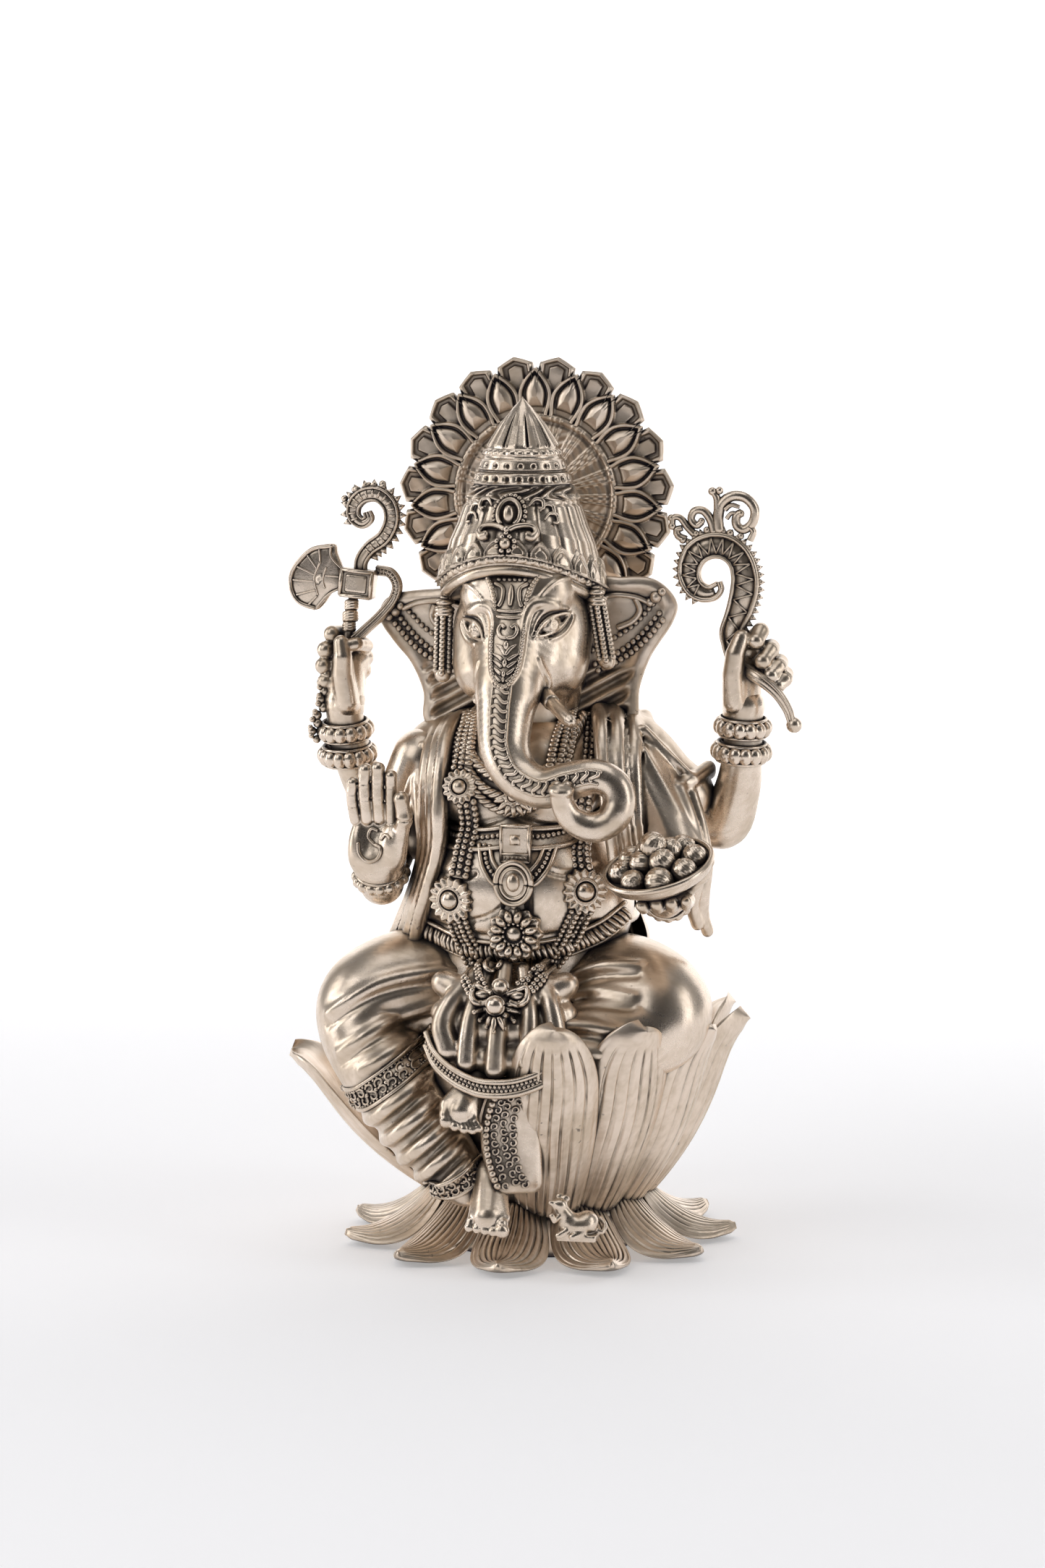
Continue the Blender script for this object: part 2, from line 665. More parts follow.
# one closed petal: centre line (out, up) over its length, its half width, thickness, cupping and ribs
def petal(casting, line, half, thick, cup, azimuth, seed, lean=0.0, pivot=(0, 0), ribs=None, rows=52,
          front=96, rear=26, shingle=0.0, face=1):
    t = 1 - (1 - np.linspace(0, 1, rows)) ** 1.7  # rows crowd towards the tip, which keeps it round
    out, up = line(t)
    if lean:
        a = math.radians(lean)
        o, z = out - pivot[0], up - pivot[1]
        out, up = pivot[0] + o * math.cos(a) + z * math.sin(a), pivot[1] + z * math.cos(a) - o * math.sin(a)
    dOut, dUp = np.gradient(out), np.gradient(up)
    size = np.hypot(dOut, dUp)
    nOut, nUp = face * dUp / size, -face * dOut / size  # the side that carries the ribs
    phi = np.concatenate([np.linspace(0, np.pi, front, endpoint=False),
                          np.linspace(np.pi, 2 * np.pi, rear, endpoint=False)])
    sides = front + rear
    c, s = np.cos(phi), np.sin(phi)
    across = np.where(s > 0, 1 - 2 * np.clip(phi / np.pi, 0, 1), c)
    proud = np.sign(s) * np.abs(s) ** 0.75
    w = half(t)[:, None]
    depth = (ribs(across[None], t[:, None], seed) * (proud > 0) * np.minimum(1, 5 * (1 - np.abs(across)))
             if ribs else 0)
    off = (thick(t)[:, None] * 0.5 * proud[None] - cup(t)[:, None] * across[None] ** 2
           + shingle * across[None]
           + depth * np.minimum(1, w / 2.0))
    x = w * across[None]
    y = -(out[:, None] + off * nOut[:, None])
    z = up[:, None] + off * nUp[:, None]
    spin = math.radians(azimuth)
    points = np.stack([x * math.cos(spin) - y * math.sin(spin), x * math.sin(spin) + y * math.cos(spin),
                       z + 0 * x], -1)
    ends = points[[0, -1]].mean(1)
    flat = np.vstack([points.reshape(-1, 3), ends])
    casting.add(flat, tubeFaces(rows, sides))


def addUpperPetals():
    base, hub = low("upper_petals")[2], high("lotus_hub")[0]
    casting = Casting()
    for k in range(lotus["upper"] - lotus["missing"]):
        openOne = k == lotus["upper"] - lotus["missing"] - 1
        drift = math.sin(k * 2.4) * 0.35
        wide = lotus["width"] * (1 + 0.03 * math.sin(k * 1.9))
        push, flick = lotus["curls"][min(k, 2)]
        rim = lotus["openRim"] if openOne else lotus["rims"][min(k, 3)]

        def line(t, drift=drift, push=push, flick=flick, rim=rim):
            out = hub - 0.6 + push + 8.3 * (1 - (1 - t) ** 2.1) + (flick + 0.3 * drift) * t ** 9
            return out, base + 0.3 + t * (rim - base + 0.3 * drift)

        def half(t, wide=wide):
            body = 0.7 + 0.3 * np.sin(np.pi / 2 * np.minimum(1, t / 0.55)) - 0.06 * smooth(0.6, 0.9, t)
            return wide * body * np.maximum(0.004, 1 - np.maximum(0, (t - 0.66) / 0.34) ** 2.3) ** 0.5

        petal(casting, line, half, lambda t: lotus["thick"] * (0.75 + 0.45 * t) * (1
                - 0.5 * smooth(0.93, 1, t)),
              lambda t: 1.25 + 0.9 * np.sin(np.pi * np.minimum(1, t * 1.05)) - 0.5 * t ** 6,
              lotus["first"] + k * 360 / lotus["upper"], k + 1,
              lean=lotus["openLean"] if openOne else (0.8 if k % 2 else 0), pivot=(hub, base),
              ribs=lambda a, t, seed: petalRibs(a, t, seed, lotus["ribs"], lotus["ribDepth"])
              * smooth(0.93, 0.86, t) * smooth(1.0, 0.8, np.abs(a)), shingle=0.55)
    casting.place("upperPetals", metals["petal"], "brass", "upper_petals")


def addLowerPetals():
    box = boxOf("lower_petals")
    hub = high("lotus_hub")
    reach = -box[0][1]
    casting = Casting()
    for k in range(lotus["lower"]):
        sink = 0.25 * math.sin(k * 2.1 + 1)

        def line(t, sink=sink):
            out = hub[0] - 0.7 + t * (reach - hub[0] + 0.3)
            up = 0.95 + (hub[2] - 0.1) * (1 - t) ** 2.1 + 0.55 * t ** 5 + 0.15 * sink * t
            return out, up

        def half(t):
            swell = 1 + 0.42 * np.sin(np.pi * np.minimum(1, t / 0.95))
            return 3.1 * swell * np.maximum(0.03, 1 - np.maximum(0, (t - 0.35) / 0.65) ** 2.3) ** 0.62

        petal(casting, line, half, lambda t: (1.1 + 0.35 * t) * (1 - 0.45 * smooth(0.93, 1, t)),
              lambda t: 0.45 + 0.95 * np.sin(np.pi * np.minimum(1, t * 1.2)) * (1 - 0.6 * t)
              - 0.3 * smooth(0.75, 1, t),
              k * 360 / lotus["lower"], k + 4, ribs=lambda a, t,
              seed: petalRibs(a, t, seed, 12, 0.42) * smooth(1.0, 0.85, t), rows=44, face=-1)
    casting.place("lowerPetals", metals["petal"], "brass", "lower_petals")


def addHub():
    h = high("lotus_hub")
    casting = Casting()

    def shape(u, v):
        a = 2 * np.pi * u
        r = np.interp(v, [0, 0.04, 0.3, 0.42, 0.8, 0.9, 1],
                      [3.6, 3.7, h[0] - 1.5, h[0] - 1.1, h[0] - 0.1, h[0] - 0.5, 0.5])
        z = np.interp(v, [0, 0.04, 0.3, 0.42, 0.8, 0.9, 1],
                      [1.9, 0, 0, 0.6, h[2] - 0.6, h[2] - 0.02, h[2] - 0.02])
        r = r + 0.1 * wobbleRing(a, z)
        return r * np.cos(a), r * np.sin(a), z

    skinOf(casting, 96, 60, shape)
    casting.place("lotusHub", metals["old"], "old_brass", "lotus_hub")

    cup = Casting()
    lo, hi = boxOf("lotus_cup")

    def bowl(u, v):
        a = 2 * np.pi * u
        t = np.clip(v / 0.8, 0, 1)
        r = h[0] - 2.6 + (hi[0] - h[0] - 0.6) * (1 - (1 - t) ** 2.2)
        r = np.where(v > 0.8, r * (1 - (v - 0.8) / 0.2) + 0.3, r)
        z = (lo[2] + (hi[2] - lo[2]) * t + np.where(v > 0.8,
                                                    0.12 * np.sin(9 * a) * np.sin(np.pi * (v - 0.8) / 0.2)
                                                    - 0.1, 0))
        return r * np.cos(a), r * np.sin(a), z

    skinOf(cup, 128, 50, bowl)
    cup.place("lotusCup", metals["old"], "old_brass", "lotus_cup")


def wobbleRing(a, z):
    return np.sin(5 * a + z) + 0.6 * np.sin(11 * a - 2 * z)


# halo: a plate with two rows of petals round a rayed field
halo = {"petals": 19, "front": 14.7, "ring": 9.55, "wide": 2.0, "shift": 0.7, "rays": 20}


def haloWidth(t):  # an almond: full below, drawn to a point
    t = np.clip(t, 0, 1)
    return (halo["wide"] * np.where(t < 0.42, 0.78 + 0.22 * np.sin(np.pi / 2 * t / 0.42),
                                    1 - np.clip((t - 0.42) / 0.58, 0, 1) ** 1.75))


def addHalo():
    lo, hi = boxOf("halo_petals")
    c = (lo + hi) / 2 + vec(halo["shift"], 0, 0)
    reach = (hi[2] - lo[2]) / 2 - 0.1
    face, back = lo[1], hi[1]
    pitch = 2 * np.pi / halo["petals"]
    t = np.linspace(0, 1, 200)
    tipHalf = haloWidth(t)

    def relief(r, a):
        front = (a + pitch / 2) % pitch - pitch / 2
        rear = a % pitch - pitch / 2
        along, b = (r - halo["ring"]) / (halo["front"] - halo["ring"]), np.abs(r * front)
        inside = haloWidth(along) - b
        inside = np.where(along > 1, (halo["front"] - r) * 0.6 - b * 0.3, inside)
        petalUp = (smooth(-0.04, 0.08, inside) * 0.55 + 0.34 * bump(inside, 0.3, 0.26) * (inside > -0.2)
                   - 0.26 * smooth(0.5, 0.62, inside))
        core = np.minimum(haloWidth(np.clip((along - 0.1) / 0.76, 0, 1)) * 0.6 - b,
                          np.minimum(along - 0.12, 0.84 - along) * 4)
        petalUp = petalUp + 0.8 * np.sqrt(np.clip(core / 0.9, 0, 1))
        rb = np.abs(r * rear)
        rearEdge = np.minimum((reach - r) * 1.1 - rb * 0.4, 1.95 - rb)
        rearUp = (0.05 + 0.34 * bump(rearEdge, 0.3, 0.26) + 0.32 * smooth(1.0, 1.2, rearEdge)
                  - 0.28 * smooth(0.5, 0.6, rearEdge))
        return np.where(inside > -0.05, np.maximum(petalUp, rearUp * 0.3), rearUp)

    def edge(a):
        front = np.abs((a + pitch / 2) % pitch - pitch / 2)
        rear = np.abs(a % pitch - pitch / 2)
        late = t > 0.5
        frontR = np.interp(-np.minimum(front * 14, halo["wide"]), -tipHalf[late],
                           halo["ring"] + t[late] * (halo["front"] - halo["ring"]))
        rearR = reach - rear * 15.3 * 0.38
        rearR = np.where(rear * 15 < 2.1, rearR, 0)
        return np.maximum(frontR, rearR)

    casting = Casting()
    n, m = halo["petals"] * 56, 76
    u, v = ringGrid(n, m)
    a = 2 * np.pi * u
    outer = edge(a)
    r = halo["ring"] - 0.25 + v * (outer - halo["ring"] + 0.25)
    up = (relief(r, a) + 0.06 * wobble(np.stack([r * np.cos(a), r * np.sin(a), r], -1).reshape(-1, 3), 0.9,
                                       3).reshape(r.shape))
    y = face + 0.75 - up
    rounding = 0.18 * smooth(0.94, 1, v)
    pts = [np.stack([c[0] + r * np.sin(a), y + rounding, c[2] + r * np.cos(a)], -1)]
    for shrink, depth in ((0.0, 0.35), (0.05, 0.9), (0.35, 1.0)):
        rim = outer[:, -1:] - shrink
        pts.append(np.stack([c[0] + rim * np.sin(a[:, :1]),
                             np.full_like(rim, face + 0.75 + (back - face - 0.75) * depth),
                             c[2] + rim * np.cos(a[:, :1])], -1))
    rim = np.full_like(outer[:, -1:], halo["ring"] - 0.25)
    pts.append(np.stack([c[0] + rim * np.sin(a[:, :1]), np.full_like(rim, back),
                         c[2] + rim * np.cos(a[:, :1])], -1))
    pts = np.concatenate(pts, 1)
    casting.add(pts.reshape(-1, 3), gridFaces(n, pts.shape[1], True, True))
    casting.place("haloPetals", metals["plate"], "brass", "halo_petals")

    disc = Casting()
    n, m = 520, 56
    u, v = ringGrid(n, m)
    a, r = 2 * np.pi * u, 0.2 + v * (halo["ring"] + 0.1)
    ray = np.abs(((a * halo["rays"] / (2 * np.pi) + 0.15 * np.sin(3 * a)) % 1) - 0.5) * 2
    up = (0.18 * ray ** 3 * smooth(2, 5, r) + 0.12 * bump(ray, 0.55, 0.1)
          + 0.85 * np.sqrt(np.clip(1 - ((r - 9.15) / 0.5) ** 2, 0, 1)))
    up = up + 0.05 * np.sin(6 * r + 4 * np.sin(7 * a)) * smooth(8.6, 8, r) - 0.15 * bump(r, 8.5, 0.15)
    y = face + 0.85 - up
    pts = np.stack([c[0] + r * np.sin(a), y, c[2] + r * np.cos(a)], -1)
    rims = [np.stack([c[0] + q * np.sin(a[:, :1]), np.full_like(a[:, :1], back - 0.02),
                      c[2] + q * np.cos(a[:, :1])], -1) for q in (halo["ring"] + 0.3, 8.8, 0.2)]
    pts = np.concatenate([pts] + rims, 1)
    disc.add(pts.reshape(-1, 3), gridFaces(n, pts.shape[1], True, True))
    disc.place("haloDisc", metals["plate"], "old_brass", "halo_disc")


# crown
crown = {"leaves": 22, "beads": 46, "lobes": 21}


crownShape = {
    "heights": [-1.5, 0.5, 3.2, 4.75, 6.4, 8.4, 10.15, 12.8, 14.7, 16.9, 18.8, 19.9],
    "radii": [8.75, 8.9, 8.6, 8.1, 7.2, 6.4, 5.5, 4.6, 3.85, 2.5, 1.1, 0.05],
}


def crownRadius(z):  # outer radius over the height, worked out between a few stations above the rim
    base = low("crown_dome")[2]
    return np.interp(z - base, crownShape["heights"],
                     crownShape["radii"])


def crownLift(x, y, h):  # the rim stands higher over the brow and dips at the temples
    c = middle("crown_dome")
    return (0.2 * (c[1] - y) - 2.6 * ((x - c[0]) / 9.3) ** 2) * smooth(10, -1, h)


def addCrown():
    base, c = low("crown_dome")[2], middle("crown_dome")
    split, top = high("crown_dome")[2], high("crown_spire")[2]

    def revolve(z0, z1, n, m, relief):
        casting = Casting()
        u, v = ringGrid(n, m)
        a, z = 2 * np.pi * u, z0 + v * (z1 - z0)
        r = np.maximum(0.02, crownRadius(z) + relief(a, z - base, crownRadius(z)))
        x, y = c[0] + r * np.sin(a), c[1] - r * np.cos(a)
        lift = crownLift(x, y, z - base)
        pts = np.stack([x, y, z + lift], -1)
        inner = [np.stack([np.full((n, 1), c[0]), np.full((n, 1), c[1]), np.full((n, 1), q)], -1)
                 for q in (z1, z0)]
        pts = np.concatenate([pts, inner[0], inner[1]], 1)
        casting.add(pts.reshape(-1, 3), gridFaces(n, pts.shape[1], True, True))
        return casting

    def domeRelief(a, h, _):
        lobe = np.abs(((a * crown["lobes"] / (2 * np.pi)) % 1) - 0.5) * 2
        flute = (0.42 * (np.sqrt(np.clip(1 - (1 - lobe) ** 2, 0, 1)) - 0.75) * smooth(2.2, 3.6, h)
                 * smooth(8.9, 8.0, h))
        cell = ((a * crown["leaves"] / (2 * np.pi)) % 1 - 0.5) * 2
        tall = 1.9 + 1.9 * (1 - np.abs(cell) ** 1.6)  # pointed leaf over each cell
        inside = np.minimum((tall - h) * 0.55, (1 - np.abs(cell)) * 1.25)
        leaf = (0.3 * smooth(0, 0.1, inside) + 0.28 * bump(inside, 0.2, 0.13)
                + 0.42 * smooth(0.32, 0.75, inside))
        leaf = leaf * (h > 1.3) * (inside > 0)
        bead = (0.42 * np.sqrt(np.clip(1 - ((h - 1.0) / 0.55) ** 2, 0, 1))
                * (0.55 + 0.45 * np.abs(np.sin(a * crown["beads"] / 2))))
        scroll = (h > 8.6) * (h < 10.3)
        twist = (0.34 * np.sin(a * 17 + 3.4 * np.sin((h - 8.6) * 2.6 + 0.7 * np.sin(a * 5))) * scroll
                 * smooth(8.6, 8.9, h) * smooth(10.3, 10.0, h))
        return np.where(leaf > 0, leaf, flute) + bead + twist - 0.16 * bump(h, 8.35, 0.14)

    dome = revolve(base - 0.6, split + 0.1, 560, 116, domeRelief)
    dome.place("crownDome", metals["bright"], "brass", "crown_dome")

    def dots(a, h, level, count, size):
        cell = ((a * count / (2 * np.pi)) % 1 - 0.5) * (2 * np.pi / count) * crownRadius(level + base)
        return bump(np.hypot(cell, h - level), 0, size)

    def spireRelief(a, h, r):
        band = (0.24 * smooth(10.35, 10.45, h) * smooth(11.55, 11.45, h)
                + 0.16 * smooth(12.0, 12.1, h) * smooth(13.0, 12.9, h))
        lip = (0.22 * (bump(h, 11.6, 0.13) + bump(h, 13.1, 0.13) + bump(h, 10.5, 0.12))
               - 0.2 * bump(h, 11.85, 0.13))
        holes = 0.5 * dots(a, h, 11.05, 24, 0.26) + 0.42 * dots(a, h, 12.5, 20, 0.22)
        pearl = (0.3 * np.sqrt(np.clip(1 - ((h - 13.95) / 0.34) ** 2, 0, 1))
                 * (0.4 + 0.6 * np.abs(np.sin(a * 13))))
        leaf = ((a * 9 / (2 * np.pi)) % 1 - 0.5) * 2
        ribs = ((0.22 * bump(np.abs(leaf), 0.16, 0.12) - 0.42 * bump(leaf, 0, 0.09)
                 + 0.12 * bump(np.abs(leaf), 1, 0.15)) * smooth(14.4, 14.9, h) * smooth(18.6, 17.2, h) * r
                / 3)
        return band + lip - holes + pearl + ribs

    spire = revolve(split, top, 420, 120, spireRelief)
    spire.place("crownSpire", metals["bright"], "brass", "crown_spire")

    rim = Casting()
    a = np.linspace(0, 2 * np.pi, 161)

    def level(r, h, q):
        x, y = c[0] + r * np.sin(q), c[1] - r * np.cos(q)
        return np.stack([x, y, base + h + crownLift(x, y, h)], -1)

    ringRod(rim, level(8.6, -0.35, a)[:-1], 0.6, 14)
    ringRod(rim, level(8.65, 0.45, a)[:-1], 0.32, 10)
    beads(rim, level(8.95, 1.0, np.arange(56) * 2 * np.pi / 56), 0.42, 7, 10)
    rim.place("crownRim", metals["bright"], "bright_brass", "crown_rim")
    addCrest(c, base)


# a closed ring of any line
def ringRod(casting, points, radius, sides):
    n = len(points)
    t = np.roll(points, -1, 0) - np.roll(points, 1, 0)
    t /= np.linalg.norm(t, axis=1)[:, None]
    side = np.cross(t, [0, 0, 1.0])
    side /= np.linalg.norm(side, axis=1)[:, None]
    above = np.cross(side, t)
    a = np.arange(sides) * 2 * np.pi / sides
    rings = (points[:, None] + radius * (side[:, None] * np.cos(a)[:, None] + above[:, None]
                                         * np.sin(a)[:, None]))
    casting.add(rings.reshape(-1, 3), gridFaces(n, sides, True, True))


# what is set on the crown's front: a niche with its gem, two hooks and a flower of beads
def addCrest(c, base):
    crest = Casting()

    def onCrown(across, height, proud=0.0):
        across, height = np.asarray(across, float), np.asarray(height, float)
        r = crownRadius(base + height) + 0.25 + proud
        a = across / r
        x, y = c[0] + r * np.sin(a), c[1] - r * np.cos(a)
        return np.stack([x, y, base + height + crownLift(x, y, height)], -1)

    def line(points, count=40, proud=0.25):
        p = curve(np.array([(x, h, 0) for x, h in points]), count)
        return onCrown(p[:, 0], p[:, 1], proud)

    up = (0, -1, 0.35)
    arch = [(1.25 * math.sin(q), 7.2 + 1.75 * math.cos(q)) for q in np.linspace(-2.5, 2.5, 15)]
    beads(crest, line([(1.75 * math.sin(q), 7.2 + 2.2 * math.cos(q)) for q in np.linspace(-2.3, 2.3, 17)],
                      17, 0.05), 0.3, 6, 9)
    rod(crest, line(arch, 50, 0.3), 0.27, 0.3, up, 10)
    beads(crest, onCrown([0], [7.05], 0.35), 0.62, 10, 16, squash=(1, 0.8, 1.75))
    for s in (-1, 1):
        hook = [(0.25 * s, 5.05), (0.9 * s, 5.5), (1.9 * s, 5.75), (2.9 * s, 5.6), (3.3 * s, 4.85),
                (2.85 * s, 4.2), (2.25 * s, 4.4)]
        t = np.linspace(0, 1, 60)
        rod(crest, line(hook, 60, 0.35), 0.3 + 0.22 * smooth(0.45, 0.95, t),
            0.34 + 0.2 * smooth(0.45, 0.95, t), up, 12)
        beads(crest, onCrown([2.45 * s], [4.5], 0.35), 0.42)
        for x, h, w in [(3.0, 8.5, 0.42), (4.3, 7.9, 0.4), (4.9, 6.9, 0.36)]:  # leaf scrolls beside the niche
            leaf = [(x * s - 0.9 * s, h - 0.3), (x * s - 0.3 * s, h + 0.45), (x * s + 0.55 * s, h + 0.3),
                    (x * s + 0.75 * s, h - 0.5), (x * s + 0.15 * s, h - 0.55)]
            rod(crest, line(leaf, 30, 0.1), w * 0.62 * np.sin(np.pi * np.linspace(0.12, 0.85, 30)), None,
                up, 9)
    beads(crest, onCrown([0], [3.0], 0.5), 0.62, 10, 14)
    q = np.arange(8) * np.pi / 4 + 0.39
    beads(crest, onCrown(1.05 * np.sin(q), 3.0 + 1.05 * np.cos(q), 0.3), 0.33, 6, 9)
    beads(crest, onCrown([0, 0], [5.1, 4.55], 0.4), [0.4, 0.28], 7, 10)
    crest.place("crownCrest", metals["bright"], "bright_brass", "crown_crest")


# where lines drawn in front of a sculpted form meet it: starts are marched along one direction
def laid(recipe, starts, toward=(0, 1, 0), reach=26.0, lift=0.0, steps=110, hitsOnly=False):
    starts, toward = np.asarray(starts, float).reshape(-1, 3), unit(toward)
    t = np.linspace(0, reach, steps)
    probe = Clay((starts[:, None] + t[None, :, None] * toward).reshape(-1, 3))
    recipe(probe)
    d = probe.d.reshape(len(starts), steps)
    inside = d < 0
    first = np.where(inside.any(1), inside.argmax(1), np.abs(d).argmin(1))
    first = np.maximum(first, 1)
    row = np.arange(len(starts))
    a, b = d[row, first - 1], d[row, first]
    share = np.where(inside.any(1), a / np.where(a - b == 0, 1, a - b), 1)
    depth = t[first - 1] + share * (t[1] - t[0])
    on = starts + (depth - lift)[:, None] * toward
    return on[inside.any(1)] if hitsOnly else on


# a curve given as (x, z), laid on the form from the front
def drawn(recipe, points, count, front=-30.0, lift=0.0):
    p = curve(np.array([(x, front, z) for x, z in points]), count)
    return laid(recipe, p, reach=abs(front) + 6, lift=lift)


# head: skull, brows, long eyes, cheeks, trunk curling round to its lip
head = {
    "middle": (-0.4, -5.6, 70.2),
    "roll": 0.075,
    "trunk": [
        (-0.4, -8.5, 72.5, 5.0), (-0.4, -11.2, 68.8, 4.4), (-0.5, -13.6, 65.0, 3.65),
        (-0.6, -15.6, 61.2, 3.1), (-0.2, -17.2, 57.8, 2.75), (1.6, -18.6, 55.2, 2.45),
        (4.6, -19.5, 54.1, 2.25), (7.6, -19.9, 55.0, 2.1), (10.4, -20.1, 55.6, 1.9),
        (12.5, -20.3, 54.7, 1.8), (13.1, -20.6, 52.8, 1.75), (12.2, -21.0, 50.9, 1.7),
        (10.2, -21.3, 50.2, 1.65), (8.2, -21.8, 51.1, 1.5), (7.3, -22.5, 52.8, 1.3),
        (7.2, -22.9, 54.2, 1.25),
    ],
}


def rolled(x, z):
    return z + head["roll"] * (x - head["middle"][0])


def skull(clay):
    x, y, z = head["middle"]
    clay.ball(vec(x, y + 0.4, z + 0.6), (7.5, 7.0, 8.2))
    clay.ball(vec(x, y + 2.6, z - 3.6), (6.2, 5.6, 7.4), 2)
    clay.bone((x, y + 3, 64), (x - 0.4, -2.5, 57.0), 5.4, 6.4, 2)
    for s in (-1, 1):
        clay.ball(vec(x + s * 2.9, y - 3.4, rolled(s * 2.9, z + 4.4)), (3.7, 3.9, 3.7), 1.2)
        clay.ball(vec(x + s * 4.5, y - 2.6, rolled(s * 4.5, z - 3.2)), (3.15, 3.5, 4.3), 1.8)
        clay.ball(vec(x + s * 5.1, y - 1.9, rolled(s * 5.1, z + 0.4)), (2.5, 3.0, 3.6), 1.2)
        clay.bone((x + s * 4.3, y - 4.6, rolled(s * 4.3, z - 4.2)),
                  (x + s * 3.1, y - 5.2, rolled(s * 3.1, z - 6.8)), 1.9, 0.95, 1.0)
    line = curve(np.array(head["trunk"]), 90)
    clay.strand(line[:14, :3], line[:14, 3], 2.2)
    clay.strand(line[13:64, :3], line[13:64, 3], 0.6)


def trunkEnd(clay):
    line = curve(np.array(head["trunk"]), 90)
    clay.strand(line[62:, :3], line[62:, 3], 0.25)
    tip = line[-1, :3]
    clay.ring(tip + vec(0, -0.1, 0.25), (0.1, -0.35, 1), 1.0, 0.42, 0.25)
    clay.ball(tip + vec(0, 0.2, 0.9), (0.85, 0.85, 0.7), 0.2, cut=True)
    clay.ball(tip + vec(-0.55, 0.3, 0.55), 0.62, 0.15)
    clay.ball(tip + vec(0.6, 0.35, 0.6), 0.6, 0.15)


def eyeLines(s):
    inner, outer = vec(2.85, 0, 69.8), vec(6.0, 0, 72.0)
    across = unit(outer - inner)
    above = vec(-across[2], 0, across[0])
    t = np.linspace(0, 1, 26)[:, None]
    arch = np.sin(np.pi * t) ** 0.85
    x0 = head["middle"][0]

    def placed(p):
        return [(x0 + s * q[0], rolled(s * q[0], q[2])) for q in p]

    mid = inner + t * (outer - inner)
    return {"upper": placed(mid + 0.85 * arch * above), "lower": placed(mid - 0.7 * arch * above),
            "groove": placed(mid + (0.3 + 0.95 * arch) * above + 0.05 * across),
            "under": placed(mid - (0.2 + 0.85 * arch) * above),
            "fold": placed(mid + (0.6 + 1.25 * arch) * above + 0.1 * across),
            "brow": placed(mid + (1.5 + 1.6 * arch) * above - 0.35 * across),
            "bag": placed(mid[6:] - (0.55 + 0.95 * arch[6:]) * above),
            "pupil": placed([inner + 0.5 * (outer - inner) + 0.05 * above])[0]}


def headForm(clay):
    skull(clay)
    for s in (-1, 1):
        eye = eyes[s]
        clay.ball(eye["socket"], (1.95, 0.6, 1.1), 0.3, axes=eye["axes"], cut=True)
        clay.ball(eye["socket"] - 0.45 * eye["look"], (1.5, 0.8, 0.8), 0.03, axes=eye["axes"])
        clay.strand(eye["upper"], eye["taper"] * 0.34, 0.1)
        clay.strand(eye["lower"], eye["taper"] * 0.26, 0.08)
        clay.strand(eye["fold"], eye["taper"] * 0.36, 0.2)
        clay.strand(eye["groove"], eye["taper"] * 0.2, 0.05, cut=True)
        clay.strand(eye["under"], eye["taper"] * 0.16, 0.05, cut=True)
        clay.strand(eye["brow"], eye["taper"] * 0.55, 0.55)
        clay.strand(eye["bag"], 0.17, 0.18)
        clay.strand(eye["edge"], 0.2, 0.12)
        clay.strand(eye["crease"], np.linspace(0.22, 0.42, len(eye["crease"])), 0.35)
        clay.ring(eye["pupil"], eye["look"], 0.5, 0.15, 0.03)
        clay.ball(eye["pupil"] - 0.05 * eye["look"], 0.24, 0.03)
    for side in panelEdges:
        clay.strand(side, 0.3, 0.08)

    trunkEnd(clay)


eyes, panelEdges = {}, []


faceLines = {
    "edge": [(6.2, 76.0), (4.7, 75.6), (3.4, 74.4), (2.4, 72.8), (1.9, 70.9), (1.75, 69.4)],
    "panel": [
        (2.95, 76.7), (2.2, 75.4), (1.75, 73.8), (1.75, 71.9), (1.75, 69.6), (1.5, 67.0), (0.85, 65.4),
        (0, 64.75),
    ],
}


def addHead():
    x0 = head["middle"][0]
    for s in (-1, 1):
        lines = eyeLines(s)
        eye = {k: laid(skull, [(x, -30, z) for x, z in lines[k]], reach=34)
               for k in ("upper", "lower", "fold", "brow", "bag", "groove", "under")}
        px, pz = lines["pupil"]
        spot = laid(skull, [(px, -30, pz), (px + 0.4, -30, pz), (px, -30, pz + 0.4)], reach=34)
        look = unit(np.cross(spot[1] - spot[0], spot[2] - spot[0]))
        look = look if look[1] < 0 else -look
        across = unit(eye["upper"][-1] - eye["upper"][0])
        across = unit(across - look * (across @ look))
        eye.update(socket=spot[0], look=look, pupil=spot[0] + 0.3 * look,
                   axes=np.stack([across, look, np.cross(across, look)], 1),
                   taper=0.55 + 0.45 * np.sin(np.pi * np.linspace(0.05, 0.95, 26)))
        edge = [(x0 + s * a, rolled(s * a, b)) for a, b in faceLines["edge"]]
        eye["edge"] = drawn(skull, edge, 34)
        crease = [(x0 + s * a, rolled(s * a, b)) for a,
                  b in [(3.4, 67.4), (3.75, 66.0), (4.0, 64.7), (3.6, 63.3)]]
        eye["crease"] = drawn(skull, crease, 20)
        eyes[s] = eye
    for s in (-1, 1):
        outline = faceLines["panel"]
        panelEdges.append(drawn(skull, [(x0 + s * a, b) for a, b in outline], 50, lift=-0.05))
    casting = Casting()
    sculpt(casting, (-9.5, -25.5, 47.5), (15.5, 5, 80), 0.165, headForm)
    casting.place("headAndTrunk", metals["skin"], "brass", "head", "trunk")
    addForehead()
    addTrunkStrip()
    addTusk()


foreheadBorder = [
    (2.95, 76.6), (2.2, 75.4), (1.75, 73.8), (1.75, 71.9), (1.75, 69.6), (1.5, 67.0), (0.85, 65.4),
    (0, 64.75),
]


